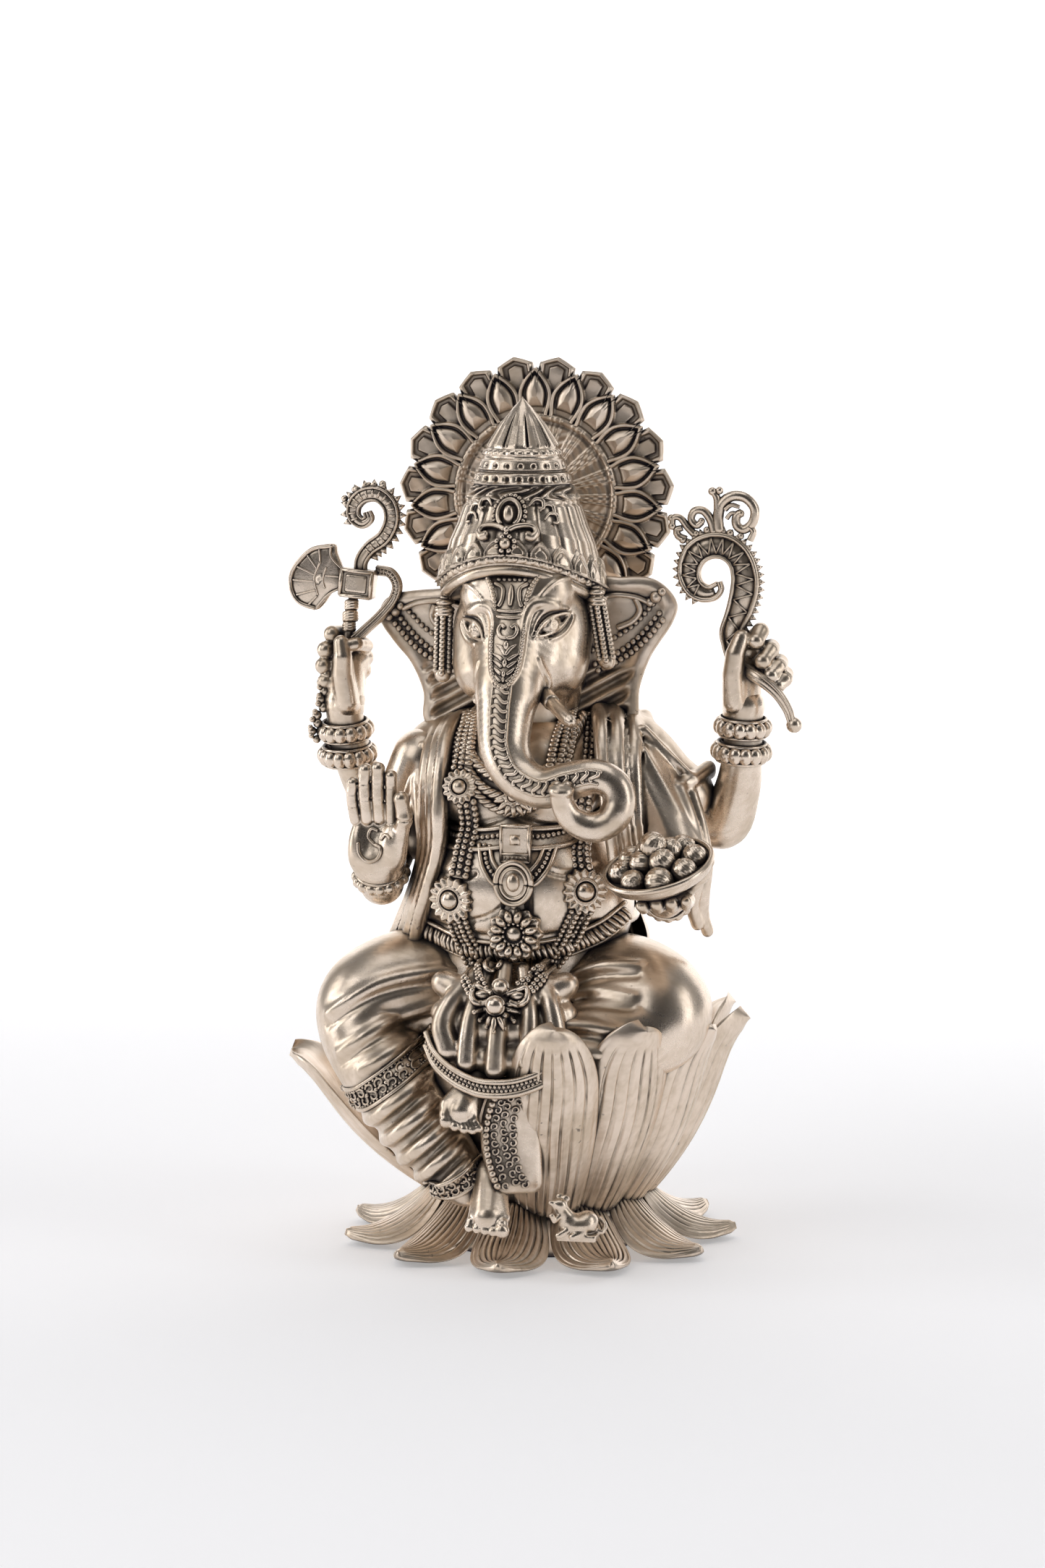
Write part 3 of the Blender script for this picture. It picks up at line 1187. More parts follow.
def addForehead():
    x0, plate = head["middle"][0], Casting()

    def spot(points, count, lift=0.0):
        return drawn(skull, [(x0 + a, b) for a, b in points], count, lift=lift)

    # twisted borders
    for s in (-1, 1):
        outline = foreheadBorder
        line = spot([(s * a, b) for a, b in outline], 200, 0.18)
        beads(plate, strung(line, 0.42), 0.28, 5, 8)
    up = (0, -1, 0.2)
    rod(plate, spot([(0, 75.6), (0, 74.6), (0, 73.4)], 16, 0.1),
        0.38 * np.sin(np.pi * np.linspace(0.1, 0.8, 16)), 0.4, up, 9)
    for s in (-1, 1):
        rod(plate, spot([(s * 1.9, 75.8), (s * 1.0, 75.3), (s * 0.95, 74.1), (s * 1.3, 73.3)], 18, 0.05),
            0.27, 0.32, up, 8)
        rod(plate, spot([(0, 70.0), (s * 0.7, 70.15), (s * 1.05, 70.8), (s * 0.75, 71.4), (s * 0.35, 71.1)],
                        22, 0.1), 0.25, 0.3, up, 8)
        rod(plate, spot([(0, 68.2), (s * 0.45, 68.9), (s * 1.1, 69.3)], 14, 0.05),
            0.28 * np.sin(np.pi * np.linspace(0.25, 0.9, 14)), 0.25, up, 8)
        for k in range(4):
            z = 68.0 - 0.75 * k
            rod(plate, spot([(s * 0.3, z - 0.35), (s * 0.75, z), (s * (1.4 - 0.16 * k), z + 0.3)], 10,
                            0.02), 0.26 * np.sin(np.pi * np.linspace(0.3, 0.9, 10)), 0.3, up, 7)
    for z in (72.9, 72.25):
        rod(plate, spot([(-1.45, z), (0, z - 0.1), (1.45, z)], 12, 0.06), 0.22, 0.26, up, 8)
    beads(plate, spot([(0, 69.2), (0, 67.3), (0, 66.2), (0, 65.6)], 4, 0.12), [0.4, 0.36, 0.3, 0.24], 6, 9,
          squash=(0.8, 0.8, 1.5))
    beads(plate, spot([(-1.5, 76.2), (1.5, 76.2)], 6, 0.1), 0.27, 5, 8)
    plate.place("foreheadPlate", metals["bright"], "bright_brass", "forehead_plate")


def addTrunkStrip():
    strip = Casting()
    line = curve(np.array(head["trunk"]), 300)
    keep = line[(np.arange(300) > 46) & (np.arange(300) < 168)]
    t = runDirection(keep[:, :3])
    face = np.array([0.0, -1.0, 0.1])
    out = face - t * (t @ face)[:, None]
    out /= np.linalg.norm(out, axis=1)[:, None]
    side = np.cross(t, out)
    on = keep[:, :3] + out * keep[:, 3:]
    half = np.linspace(0.98, 0.7, len(on))
    for s in (-1, 1):
        edge = (keep[:, :3] + (out * np.cos(half / keep[:, 3])[:, None]
                               + s * side * np.sin(half / keep[:, 3])[:, None]) * keep[:, 3:])
        rod(strip, edge, 0.2, 0.3, out, 8)
    run = runLength(on)
    for at in np.arange(0.5, run[-1] - 0.4, 1.12):
        i = min(int(np.searchsorted(run, at)), len(on) - 1)
        w = half[i]
        scroll = [(-w * 0.9, 0.28), (-w * 0.45, 0.42), (-w * 0.1, 0.12), (w * 0.12, -0.12),
                  (w * 0.45, -0.4), (w * 0.9, -0.22)]
        p = curve(np.array([(a, b, 0) for a, b in scroll]), 14)
        pts = (on[i] + p[:, :1] * side[i] + p[:, 1:2] * t[i] + 0.08 * out[i]
               - (p[:, :1] ** 2) / (2 * keep[i, 3]) * out[i])
        rod(strip, pts, 0.25, 0.28, out[i], 7)
    strip.place("trunkStrip", metals["bright"], "bright_brass")


tuskLine = [(3.2, -12.6, 63.6), (4.5, -14.2, 62.7), (5.9, -15.8, 61.8), (7.3, -17.2, 60.9)]


def addTusk():
    tusk = Casting()
    t = np.linspace(0, 1, 22)
    line = curve(np.array(tuskLine), 22)
    rod(tusk, line, np.where(t > 0.94, 0.5, 0.72), None, (0, 0, 1), 14, 0.9)
    rod(tusk, line[:7], 0.92, None, (0, 0, 1), 14)
    tusk.place("tuskStub", metals["bright"], "brass", "tusk")


# ears and the tassels that hang in front of them
ears = {
    -1: [
        (-7.4, 73.4), (-11.5, 73.6), (-15.7, 73.1), (-17.4, 72.2), (-17.7, 70.6), (-15.9, 68.3),
        (-13.9, 66.1), (-12.2, 62.6), (-12.1, 59.8), (-10.6, 58.3), (-5.5, 58.6), (-5.0, 66.0),
    ],
    1: [
        (6.9, 74.4), (10.0, 75.3), (13.3, 75.1), (15.3, 73.1), (14.9, 71.0), (12.6, 67.3), (11.4, 63.7),
        (11.3, 60.5), (10.2, 59.3), (5.0, 58.8), (4.4, 66.0),
    ],
}


def earSweep(x, z):  # the ear's middle surface bends back outwards
    away = np.abs(x - head["middle"][0])
    return -2.6 + 0.03 * (away - 7) ** 2 * 0.6 - 0.9 * smooth(66, 60, z)


def earField(clay, s):
    outline = ears[s]
    ring = curve(np.array([(a, 0, b) for a, b in outline]), 120, closed=True)
    at = clay.near((-19, -7, 56), (17, 3, 77), 0)
    p = clay.p[at]
    x, z = p[:, 0], p[:, 2]
    edge = np.full(len(p), 1e9)
    inside = np.zeros(len(p), bool)
    for a, b in zip(ring, np.roll(ring, -1, 0)):
        ax, az, bx, bz = a[0], a[2], b[0], b[2]
        ex, ez = bx - ax, bz - az
        t = np.clip(((x - ax) * ex + (z - az) * ez) / (ex * ex + ez * ez + 1e-9), 0, 1)
        edge = np.minimum(edge, np.hypot(x - ax - t * ex, z - az - t * ez))
        inside ^= ((az > z) != (bz > z)) & (x < ex * (z - az) / (ez + 1e-12) + ax)
    flat = np.where(inside, edge, -edge)
    sweep = earSweep(x, z)
    dish = 0.55 * smooth(0.3, 2.2, edge)
    folds = (0.42 * np.sin((z - 0.55 * (x - head["middle"][0])) * 3.3 - 0.9) * smooth(66.3, 65.2, z)
             * smooth(0.2, 1.0, edge))
    thick = 0.72 - 0.22 * smooth(0.2, 1.5, edge)
    d = np.abs(p[:, 1] - (sweep + dish - folds)) - thick
    d = np.maximum(d, -flat + 0.1)
    clay.d[at] = np.minimum(clay.d[at], d * 0.85)
    rim = ring.copy()
    rim[:, 1] = earSweep(rim[:, 0], rim[:, 2])
    clay.strand(np.vstack([rim, rim[:1]]), 0.62, 0.25)


tassels = {
    "sides": (
        (-1, "rightTassel", "right_ear_tassel", (-9.2, -7.6, 73.4), (-9.4, -7.8, 64.6)),
        (1, "leftTassel", "left_ear_tassel", (7.9, -7.6, 74.8), (9.4, -7.9, 66.4)),
    ),
    "cap": [(0.55, 0.0), (1.05, 0.55), (0.85, 1.0), (1.2, 1.35), (1.15, 1.75)],
    "strings": [(-0.72, -0.25), (0, -0.62), (0.72, -0.25), (-0.5, 0.5), (0.5, 0.5)],
}


def addEars():
    for s, name, node in ((-1, "rightEar", "right_ear"), (1, "leftEar", "left_ear")):
        outline = ears[s]
        xs, zs = [a for a, _ in outline], [b for _, b in outline]
        casting = Casting()

        def form(clay, s=s):
            earField(clay, s)

        sculpt(casting, (min(xs) - 1, -6, min(zs) - 1), (max(xs) + 1, 2.5, max(zs) + 1), 0.2, form)
        # two bead rows and a pierced scroll panel on the upper ear
        rows = [[(s * 6.9, 66.9), (s * 9.4, 68.2), (s * 12.0, 69.9), (s * 14.3, 72.3)],
                [(s * 7.2, 65.3), (s * 9.8, 66.5), (s * 12.6, 68.5), (s * 15.2, 71.4)],
                [(s * 7.6, 64.6), (s * 10.0, 65.7), (s * 12.9, 67.7), (s * 15.6, 70.6)]]
        for k, row in enumerate(rows):
            row = [(x * (1.06 if s < 0 else 0.93) + (0.2 * s), z + (0 if s < 0 else 0.8)) for x, z in row]
            beads(casting, strung(drawn(form, row, 60, lift=0.1), 0.72), 0.36 if k else 0.32, 5, 8)
        arch = [(s * 7.2, 72.6), (s * 9.8, 73.4), (s * 12.6, 73.2), (s * 14.6, 72.4)]
        lift = 0 if s < 0 else 1.0
        rod(casting, drawn(form, [(a * (1.05 if s < 0 else 0.9), b - 0.5 + lift) for a, b in arch], 40,
                           lift=0.15), 0.32, 0.4, (0, -1, 0), 9)
        hook = [(s * 11.4, 72.6), (s * 11.9, 71.2), (s * 11.1, 70.0), (s * 9.4, 69.2)]
        rod(casting, drawn(form, [(a, b + lift) for a, b in hook], 30, lift=0.15), 0.36, 0.4, (0, -1, 0), 9)
        x, z = (-16.3, 71.6) if s < 0 else (13.7, 73.7)
        beads(casting, drawn(form, [(x - 0.7, z - 0.6), (x, z), (x + 0.7, z + 0.6)], 3, lift=0.2),
              [0.5, 0.65, 0.45], 7, 10)
        casting.place(name, metals["old"], "brass", node)
    for s, name, node, top, foot in tassels["sides"]:
        tassel = Casting()
        a, b = np.array(top), np.array(foot)
        down = unit(b - a)
        for k, (r, h) in enumerate(tassels["cap"]):
            beads(tassel, [a + down * (h - 0.3)], r, 8, 16, squash=(1, 0.85, 0.42))
        side = unit(np.cross(down, [0, -1, 0]))
        n = 13
        for col, (dx, dy) in enumerate(tassels["strings"]):
            t = np.linspace(0, 1, n)[:, None]
            line = (a + down * 1.6 + t * (b - a - down * 2.6) + dx * side + np.array([0, dy, 0])
                    + (0.3 if col % 2 else 0) * down)
            beads(tassel, line, 0.4, 5, 8)
        rod(tassel, np.array([a + down * 1.0, (a + b) / 2, b - down * 0.7]), 0.62, 0.55, (0, -1, 0), 10)
        beads(tassel, [b - down * 0.55], 0.95, 8, 14, squash=(1, 0.8, 1.0))
        tassel.place(name, metals["bright"], "bright_brass", node)


# body: plump torso, open shawl, belly creases
body = {"x": -0.8, "belly": (11.3, 10.8, 10.0), "chest": (10.4, 8.8, 8.2)}


def torsoForm(clay):
    x = body["x"]
    clay.ball(vec(x, -5.0, 41.6), body["belly"])
    clay.ball(vec(x, -4.0, 53.0), body["chest"], 2.5)
    clay.ball(vec(x, -2.0, 31), (12.5, 10.5, 9), 2.5)
    for s in (-1, 1):
        clay.ball(vec(x + s * 5.0, -9.6, 52.2), (4.2, 3.2, 3.5), 1.2)
        clay.bone((x + s * 6.5, -2.8, 56.8), (x + s * 10.8, -2.4, 55.6), 4.2, 3.6, 2)
        clay.ball(vec(x + s * 9.2, -5.2, 39.5), (3.4, 5, 5.5), 1.5)
    clay.level(22.0)


def torsoSkin(clay):
    torsoForm(clay)
    for line in creases:
        clay.strand(line, 0.28, 0.35, cut=True)
    clay.ball(navel, (0.55, 0.7, 0.45), 0.3, cut=True)


creases, navel = [], vec(0, 0, 0)


def addTorso():
    global navel
    x = body["x"]
    for line in ([(x - 3.9, 38.4), (x - 1.5, 39.3), (x + 1.0, 41.2)],
                 [(x - 8.0, 43.6), (x - 5.4, 43.2), (x - 3.4, 43.8)],
                 [(x + 4.2, 44.6), (x + 6.6, 43.8), (x + 9.5, 44.4)],
                 [(x - 9.5, 37.6), (x - 5.0, 36.9), (x, 36.7), (x + 5.2, 37.0), (x + 9.6, 38.1)],
                 [(x - 8.4, 49.3), (x - 5.2, 48.6), (x - 1.2, 49.7), (x, 50.6)],
                 [(x + 8.4, 49.5), (x + 5.2, 48.8), (x + 1.2, 49.7), (x, 50.6)]):
        creases.append(drawn(torsoForm, line, 30))
    navel = drawn(torsoForm, [(x + 0.9, 39.2), (x + 0.9, 39.1), (x + 0.9, 39.0)], 3)[1]
    casting = Casting()
    sculpt(casting, (-20, -18, 22), (18, 9, 63), 0.25, torsoSkin)
    casting.place("torsoSkin", metals["skin"], "brass", "torso")


# arms: two behind raised with bangles, two in front
arms = {
    "upper": {
        -1: [
            (-11.8, -1.6, 55.4, 3.5), (-15.6, 0.8, 50.4, 3.0), (-18.6, 0.6, 49.0, 2.8),
            (-20.3, -0.6, 52.0, 2.45), (-21.3, -2.2, 55.6, 2.2), (-21.9, -2.9, 59.6, 2.1),
            (-21.9, -2.9, 61.5, 2.3),
        ],
        1: [
            (11.0, -1.6, 56.2, 3.6), (16.8, 0.2, 51.0, 3.1), (20.9, 0.2, 48.2, 2.95),
            (22.8, -1.2, 52.0, 2.6), (23.6, -2.6, 56.0, 2.25), (23.8, -3.0, 60.0, 2.1),
            (23.9, -3.0, 61.8, 2.3),
        ],
    },
    "lower": {
        -1: [
            (-12.6, -4.0, 55.0, 3.6), (-15.2, -4.2, 49.0, 3.1), (-16.2, -5.5, 44.5, 2.8),
            (-16.2, -8.6, 43.0, 2.5), (-16.1, -10.4, 44.2, 2.4),
        ],
        1: [
            (11.4, -4.6, 54.6, 3.6), (14.8, -6.0, 48.5, 3.2), (16.6, -9.0, 44.6, 2.9),
            (17.0, -12.5, 42.0, 2.4), (17.2, -15.5, 41.6, 2.0),
        ],
    },
}


def armForm(clay, which, s):
    line = curve(np.array(arms[which][s]), 40)
    clay.strand(line[:, :3], line[:, 3], 0.8)


def addArms():
    for which, s, name, node in (("upper", -1, "rightUpperArm", "upper_right_arm"),
                                 ("upper", 1, "leftUpperArm", "upper_left_arm"),
                                 ("lower", -1, "rightLowerArm", "lower_right_arm"),
                                 ("lower", 1, "leftLowerArm", "lower_left_arm")):
        line = np.array(arms[which][s])
        casting = Casting()
        sculpt(casting, line[:, :3].min(0) - 5, line[:, :3].max(0) + 5, 0.25, lambda clay, w=which,
               q=s: armForm(clay, w, q))
        casting.place(name, metals["skin"], "brass", node)


def bangle(casting, centre, axis, radius, bead, count, tall=1.15):
    axis = unit(axis)
    side = unit(np.cross(axis, [0.2, 1, 0.1]))
    other = np.cross(axis, side)
    a = np.arange(count) * 2 * np.pi / count
    for q in a:
        out = math.cos(q) * side + math.sin(q) * other
        basis = np.stack([np.cross(axis, out), out, axis], 1)
        beads(casting, [centre + radius * out], bead, 8, 12, (0.98, 0.9, tall), basis)
    ring = np.array([centre + radius * 0.98 * (math.cos(q) * side + math.sin(q) * other) for q in around(48)])
    for lift in (-1, 1):
        ringRod(casting, ring + lift * bead * tall * 0.98 * axis, 0.2, 8)
    ringRod(casting, ring, bead * 0.75, 10)


def addBangles():
    for s, name, node in ((-1, "rightBangles", "upper_right_bangles"),
                          (1, "leftBangles", "upper_left_bangles")):
        casting = Casting()
        lower, top = (vec(-21.8, -2.2, 55.3), vec(-21.9, -2.7, 58.1)) if s < 0 else (vec(23.5, -2.6, 56.7),
                vec(23.7, -2.9, 59.5))
        axis = top - lower
        bangle(casting, lower, axis, 2.75, 0.86, 15)
        bangle(casting, top, axis, 2.6, 0.84, 14)
        casting.place(name, metals["bright"], "bright_brass", node)
    casting = Casting()
    bangle(casting, vec(-16.2, -9.3, 42.6), (0.0, -0.55, 0.85), 2.75, 0.72, 16, 0.95)
    casting.place("rightFrontBangle", metals["bright"], "bright_brass", "lower_right_bangle")
    casting = Casting()
    bangle(casting, vec(17.1, -13.4, 41.8), (0.1, -1, -0.15), 2.5, 0.68, 15, 0.95)
    casting.place("leftFrontBangle", metals["bright"], "bright_brass", "lower_left_bangle")


shawl = {
    "folds": {
        -1: (
            [
                [
                    (-7.6, -1.5, 60.2), (-8.6, -7.5, 59.0), (-8.7, -11.6, 55.4), (-8.7, -13.0, 50.5),
                    (-8.9, -12.6, 46.0), (-10.2, -12.0, 41.5), (-11.6, -10.6, 37.8), (-12.4, -9.2, 35.4),
                ],
                [
                    (-8.6, -1.0, 60.2), (-9.6, -6.8, 58.6), (-9.9, -10.4, 55.0), (-9.8, -11.6, 50.0),
                    (-9.9, -11.2, 45.6), (-11.3, -10.4, 41.0), (-12.9, -8.8, 37.2), (-14.0, -7.0, 34.2),
                ],
                [
                    (-9.8, -0.6, 59.8), (-10.8, -5.8, 57.8), (-11.0, -9.0, 54.4), (-10.9, -10.0, 49.6),
                    (-10.9, -9.6, 45.2), (-12.2, -8.6, 41.0), (-13.9, -6.8, 37.0), (-15.6, -5.0, 33.6),
                ],
                [
                    (-10.8, 0.2, 59.4), (-12.0, -4.6, 56.6), (-12.2, -7.4, 53.2), (-11.8, -8.4, 49.0),
                    (-11.7, -8.0, 45.2), (-13.0, -6.8, 41.0), (-14.9, -5.2, 37.0), (-16.9, -3.4, 33.0),
                ],
            ],
            [0.95, 0.85, 0.9, 0.8],
        ),
        1: (
            [
                [
                    (7.2, -2.0, 61.2), (8.6, -8.0, 59.8), (9.6, -11.4, 55.8), (10.4, -12.8, 51.0),
                    (11.0, -12.8, 47.0), (11.3, -12.2, 43.5),
                ],
                [
                    (8.8, -1.5, 61.2), (10.2, -7.0, 59.6), (11.1, -10.3, 55.6), (11.8, -11.5, 51.0),
                    (12.4, -11.3, 46.8), (12.6, -10.8, 42.6),
                ],
                [
                    (10.6, -0.8, 60.6), (11.9, -5.6, 59.0), (12.6, -8.8, 55.4), (13.1, -10.0, 50.6),
                    (13.6, -9.9, 46.4), (13.6, -9.4, 41.8),
                ],
                [
                    (12.0, 0, 60.0), (13.4, -4.4, 58.0), (14.2, -7.2, 54.4), (14.6, -8.6, 49.6),
                    (14.6, -8.4, 45.0), (14.2, -7.8, 39.8),
                ],
            ],
            [0.95, 0.95, 0.9, 0.85],
        ),
    },
    "sleeves": {
        -1: [
            (-8.2, -1.4, 57.4, 3.9), (-11.4, -2.6, 55.4, 3.9), (-13.2, -3.4, 52.0, 3.5),
            (-13.8, -4.0, 48.8, 3.1), (-13.8, -4.4, 46.6, 2.9),
        ],
        1: [
            (8.0, -1.4, 57.8, 4.1), (11.6, -2.2, 56.0, 4.1), (14.8, -2.0, 53.2, 3.6),
            (17.0, -1.4, 51.6, 3.3),
        ],
    },
    "upperSleeve": [(12.2, -4.4, 54.4, 3.9), (14.9, -6.4, 49.6, 3.7), (16.6, -8.0, 46.2, 3.4)],
    "shoulderFolds": (
        ((13.0, -5.6, 59.2), (18.6, -4.6, 53.6), 0.6),
        ((12.6, -7.0, 58.0), (17.4, -8.6, 50.2), 0.55),
        ((12.4, -7.8, 56.0), (16.8, -10.2, 48.2), 0.5),
    ),
    "cuff": [(16.6, -6.3, 52.6), (18.3, -4.4, 53.6), (19.6, -1.4, 54.6), (19.2, 1.2, 53.8)],
    "tailFront": [
        (17.2, -6.4, 52.8), (18.6, -7.4, 49.8), (19.6, -7.4, 46.2), (19.4, -7.0, 42.6),
        (18.6, -5.6, 39.6), (19.0, -4.6, 37.4),
    ],
    "tailRear": [
        (18.4, -5.0, 52.0), (19.6, -5.8, 48.6), (20.2, -5.6, 44.6), (19.8, -5.0, 41.0),
        (19.5, -3.8, 38.4), (19.9, -3.2, 36.4),
    ],
    "sleeveFolds": (
        ((-12.0, -6.6, 57.0), (-14.2, -7.6, 50.2), 0.55),
        ((-13.6, -5.8, 56.4), (-16.2, -6.6, 50.6), 0.5),
        ((-12.4, -7.6, 53.0), (-13.6, -7.9, 46.8), 0.5),
    ),
}


# shawl: long folded bands over both shoulders
def addShawls():
    folds = shawl["folds"]
    sleeves = shawl["sleeves"]
    second = shawl["upperSleeve"]
    for s, name, node in ((-1, "rightShawl", "right_shawl"), (1, "leftShawl", "left_shawl")):
        lines = [curve(np.array(p), 60) for p in folds[s][0]]
        sleeve = curve(np.array(sleeves[s]), 30)
        other = curve(np.array(second), 30)

        def form(clay, s=s, lines=lines, sleeve=sleeve, other=other):
            clay.strand(sleeve[:, :3], sleeve[:, 3], 0.8)
            if s > 0:
                clay.strand(other[:, :3], other[:, 3], 0.8)
                # folds that run from the shoulder into the sleeve, and its knotted cuff
                for a, b, r in shawl["shoulderFolds"]:
                    clay.bone(a, b, r, r * 0.7, 0.6)
                clay.strand(np.array(shawl["cuff"]), 0.85, 0.4)
                clay.strand(curve(np.array(shawl["tailFront"]), 30), 0.75, 0.5)
                clay.strand(curve(np.array(shawl["tailRear"]), 30), 0.7, 0.5)
            else:
                for a, b, r in shawl["sleeveFolds"]:
                    clay.bone(a, b, r, r * 0.6, 0.6)
            for k, (line, r) in enumerate(zip(lines, folds[s][1])):
                clay.strand(line, np.linspace(r, r * 0.85, len(line)), 0.3)
                inner = line.copy()
                inner[:, 1] += 0.8
                clay.strand(inner, r * 0.95, 0.4)
            for k in range(len(lines) - 1):  # sharp grooves between the folds
                clay.strand((lines[k] + lines[k + 1]) / 2 + vec(0, -0.75, 0), 0.3, 0.15, cut=True)

        casting = Casting()
        allPoints = np.vstack(lines + [sleeve[:, :3]]
                              + ([other[:, :3], np.array([[21, -2, 33.0]])] if s > 0 else []))
        sculpt(casting, allPoints.min(0) - 5, allPoints.max(0) + 5, 0.23, form)
        casting.place(name, metals["cloth"], "brass", node)
    # the shawl seen behind: a sheet with folds down the back
    back = Casting()
    n, m = 90, 90

    def sheet(u, v):
        a = (u - 0.5) * math.radians(150)
        z = 60.5 - 26 * v
        r = np.interp(z, [34, 40, 48, 55, 59, 60.5], [11.2, 11.6, 11.4, 11.0, 8.4, 6.5])
        r = r + 0.35 * np.sin(a * 14 + 1.5 * np.sin(v * 4)) * smooth(0, 0.25, v)
        wide = 1 + 0.2 * smooth(0.75, 1, v)
        return body["x"] + r * 1.06 * np.sin(a) * wide, -3.2 + r * 0.98 * np.cos(a), z

    def shell(u, v):
        x, y, z = sheet(u, np.minimum(1, np.abs(2 * v - 1)))
        return np.where(v < 0.5, x, body["x"] + (x - body["x"]) * 0.88), np.where(v < 0.5, y, y - 1.0), z

    skinOf(back, n, 2 * m, shell, closeU=False, closeV=True)
    back.place("shawlBack", metals["cloth"], "brass")


# legs in their cloth
legs = {
    "right": [
        (-6.0, -3.5, 28.6, 6.6), (-12.5, -6.6, 30.0, 6.3), (-17.4, -9.6, 28.6, 5.5),
        (-17.8, -11.4, 25.4, 5.0), (-14.6, -13.6, 20.6, 4.7), (-10.4, -15.8, 15.8, 4.3),
        (-6.6, -17.4, 11.8, 3.5), (-4.6, -18.0, 9.8, 2.7),
    ],
    "left": [
        (4.5, -3.5, 28.2, 6.6), (10.5, -6.0, 29.6, 6.7), (15.2, -8.2, 28.4, 6.0),
        (14.6, -10.2, 26.2, 5.2), (9.4, -12.6, 25.2, 4.8), (3.6, -14.6, 24.0, 4.2),
    ],
}


def legForm(clay, which):
    line = curve(np.array(legs[which]), 70)
    clay.strand(line[:, :3], line[:, 3], 1.2)


def foldsOn(form, runs, count=36, lift=0.0):
    found = []
    for points, radius in runs:
        p = laid(form, curve(np.array(points), count), reach=32, lift=lift, hitsOnly=True)
        if len(p) > 5:
            found.append((p, radius * np.sin(np.pi * np.linspace(0.06, 0.95, len(p))) ** 0.7))
    return found


def clothOn(form, ridges, cuts, ridgeBlend, cutBlend):  # a form with its folds raised and cut
    def draped(clay):
        form(clay)
        for line, r in ridges:
            clay.strand(line, r, ridgeBlend)
        for line, r in cuts:
            clay.strand(line, r, cutBlend, cut=True)

    return draped


legFolds = {
    "shin": [
        (-19.2, 15.0, -8.0, 22.4), (-17.6, 12.8, -6.8, 19.6), (-15.6, 10.8, -5.6, 17.0),
        (-13.4, 9.2, -4.6, 14.6), (-11.0, 8.0, -3.8, 12.6),
    ],
    "thigh": [
        ([(-21.0, -32, 27.6), (-15.4, -32, 31.0), (-9.0, -32, 32.2), (-4.6, -32, 32.0)], 0.45),
        ([(-19.4, -32, 23.4), (-14.6, -32, 26.6), (-10.2, -32, 28.2), (-6.0, -32, 29.4)], 0.5),
        ([(-16.6, -32, 21.8), (-13.0, -32, 24.0), (-9.6, -32, 26.0)], 0.45),
    ],
    "left": [
        ([(4.6, -32, 31.6), (9.0, -32, 33.4), (13.6, -32, 33.8)], 0.35),
        ([(4.0, -32, 29.4), (8.6, -32, 30.6), (13.4, -32, 30.4)], 0.5),
        ([(3.4, -32, 27.4), (8.2, -32, 27.6), (12.6, -32, 27.0)], 0.55),
        ([(2.6, -32, 25.4), (7.4, -32, 24.8), (12.0, -32, 24.4)], 0.5),
    ],
}


def addLegs():
    def base(clay):
        legForm(clay, "right")

    # deep folds round the shin, and long soft ones over the thigh
    shin = []
    for k, (x0, z0, x1, z1) in enumerate(legFolds["shin"]):
        second = (x0 * 0.66 + x1 * 0.34, -32, z0 * 0.66 + z1 * 0.34 - 1.2)
        third = (x0 * 0.33 + x1 * 0.67, -32, z0 * 0.33 + z1 * 0.67 - 0.9)
        shin.append(([(x0, -32, z0), second, third, (x1, -32, z1)], 0.9 - 0.04 * k))
    thigh = legFolds["thigh"]
    ridges = foldsOn(base, shin + thigh)
    valleys = [([(a[0] + 0.2, a[1], a[2] - 1.5) for a in line], r * 0.5) for line, r in shin[:-1]]
    valleys += [([(a[0] + 0.2, a[1], a[2] - 1.3) for a in line], 0.2) for line, _ in thigh]
    cuts = foldsOn(base, valleys)

    draped = clothOn(base, ridges, cuts, 1.1, 0.8)
    casting = Casting()
    sculpt(casting, (-26, -24, 5.2), (0, 5, 37), 0.25, draped)
    casting.place("rightLegCloth", metals["cloth"], "brass", "right_leg")
    addLace(draped)

    def other(clay):
        legForm(clay, "left")

    runs = legFolds["left"]
    ridges = foldsOn(other, runs)
    cuts = foldsOn(other, [([(a[0], a[1], a[2] - 1.1) for a in line], 0.25) for line, r in runs])

    draped = clothOn(other, ridges, cuts, 1.2, 0.9)

    casting = Casting()
    sculpt(casting, (-3, -22, 19), (22, 5, 37.5), 0.25, draped)
    casting.place("leftLegCloth", metals["cloth"], "brass", "left_leg")

    def seat(clay):
        clay.ball(vec(-0.8, -1.0, 27.5), (12.6, 11.2, 8.6))
        clay.ball(vec(-9.5, 0.5, 26.5), (6.5, 6.5, 6), 2)
        clay.ball(vec(8.0, 0.5, 26.5), (6.5, 6.5, 6), 2)
        clay.level(21.4)

    casting = Casting()
    sculpt(casting, (-18, -14, 21), (16, 12, 37), 0.32, seat)
    casting.place("seatCloth", metals["cloth"], "brass", "pelvis")


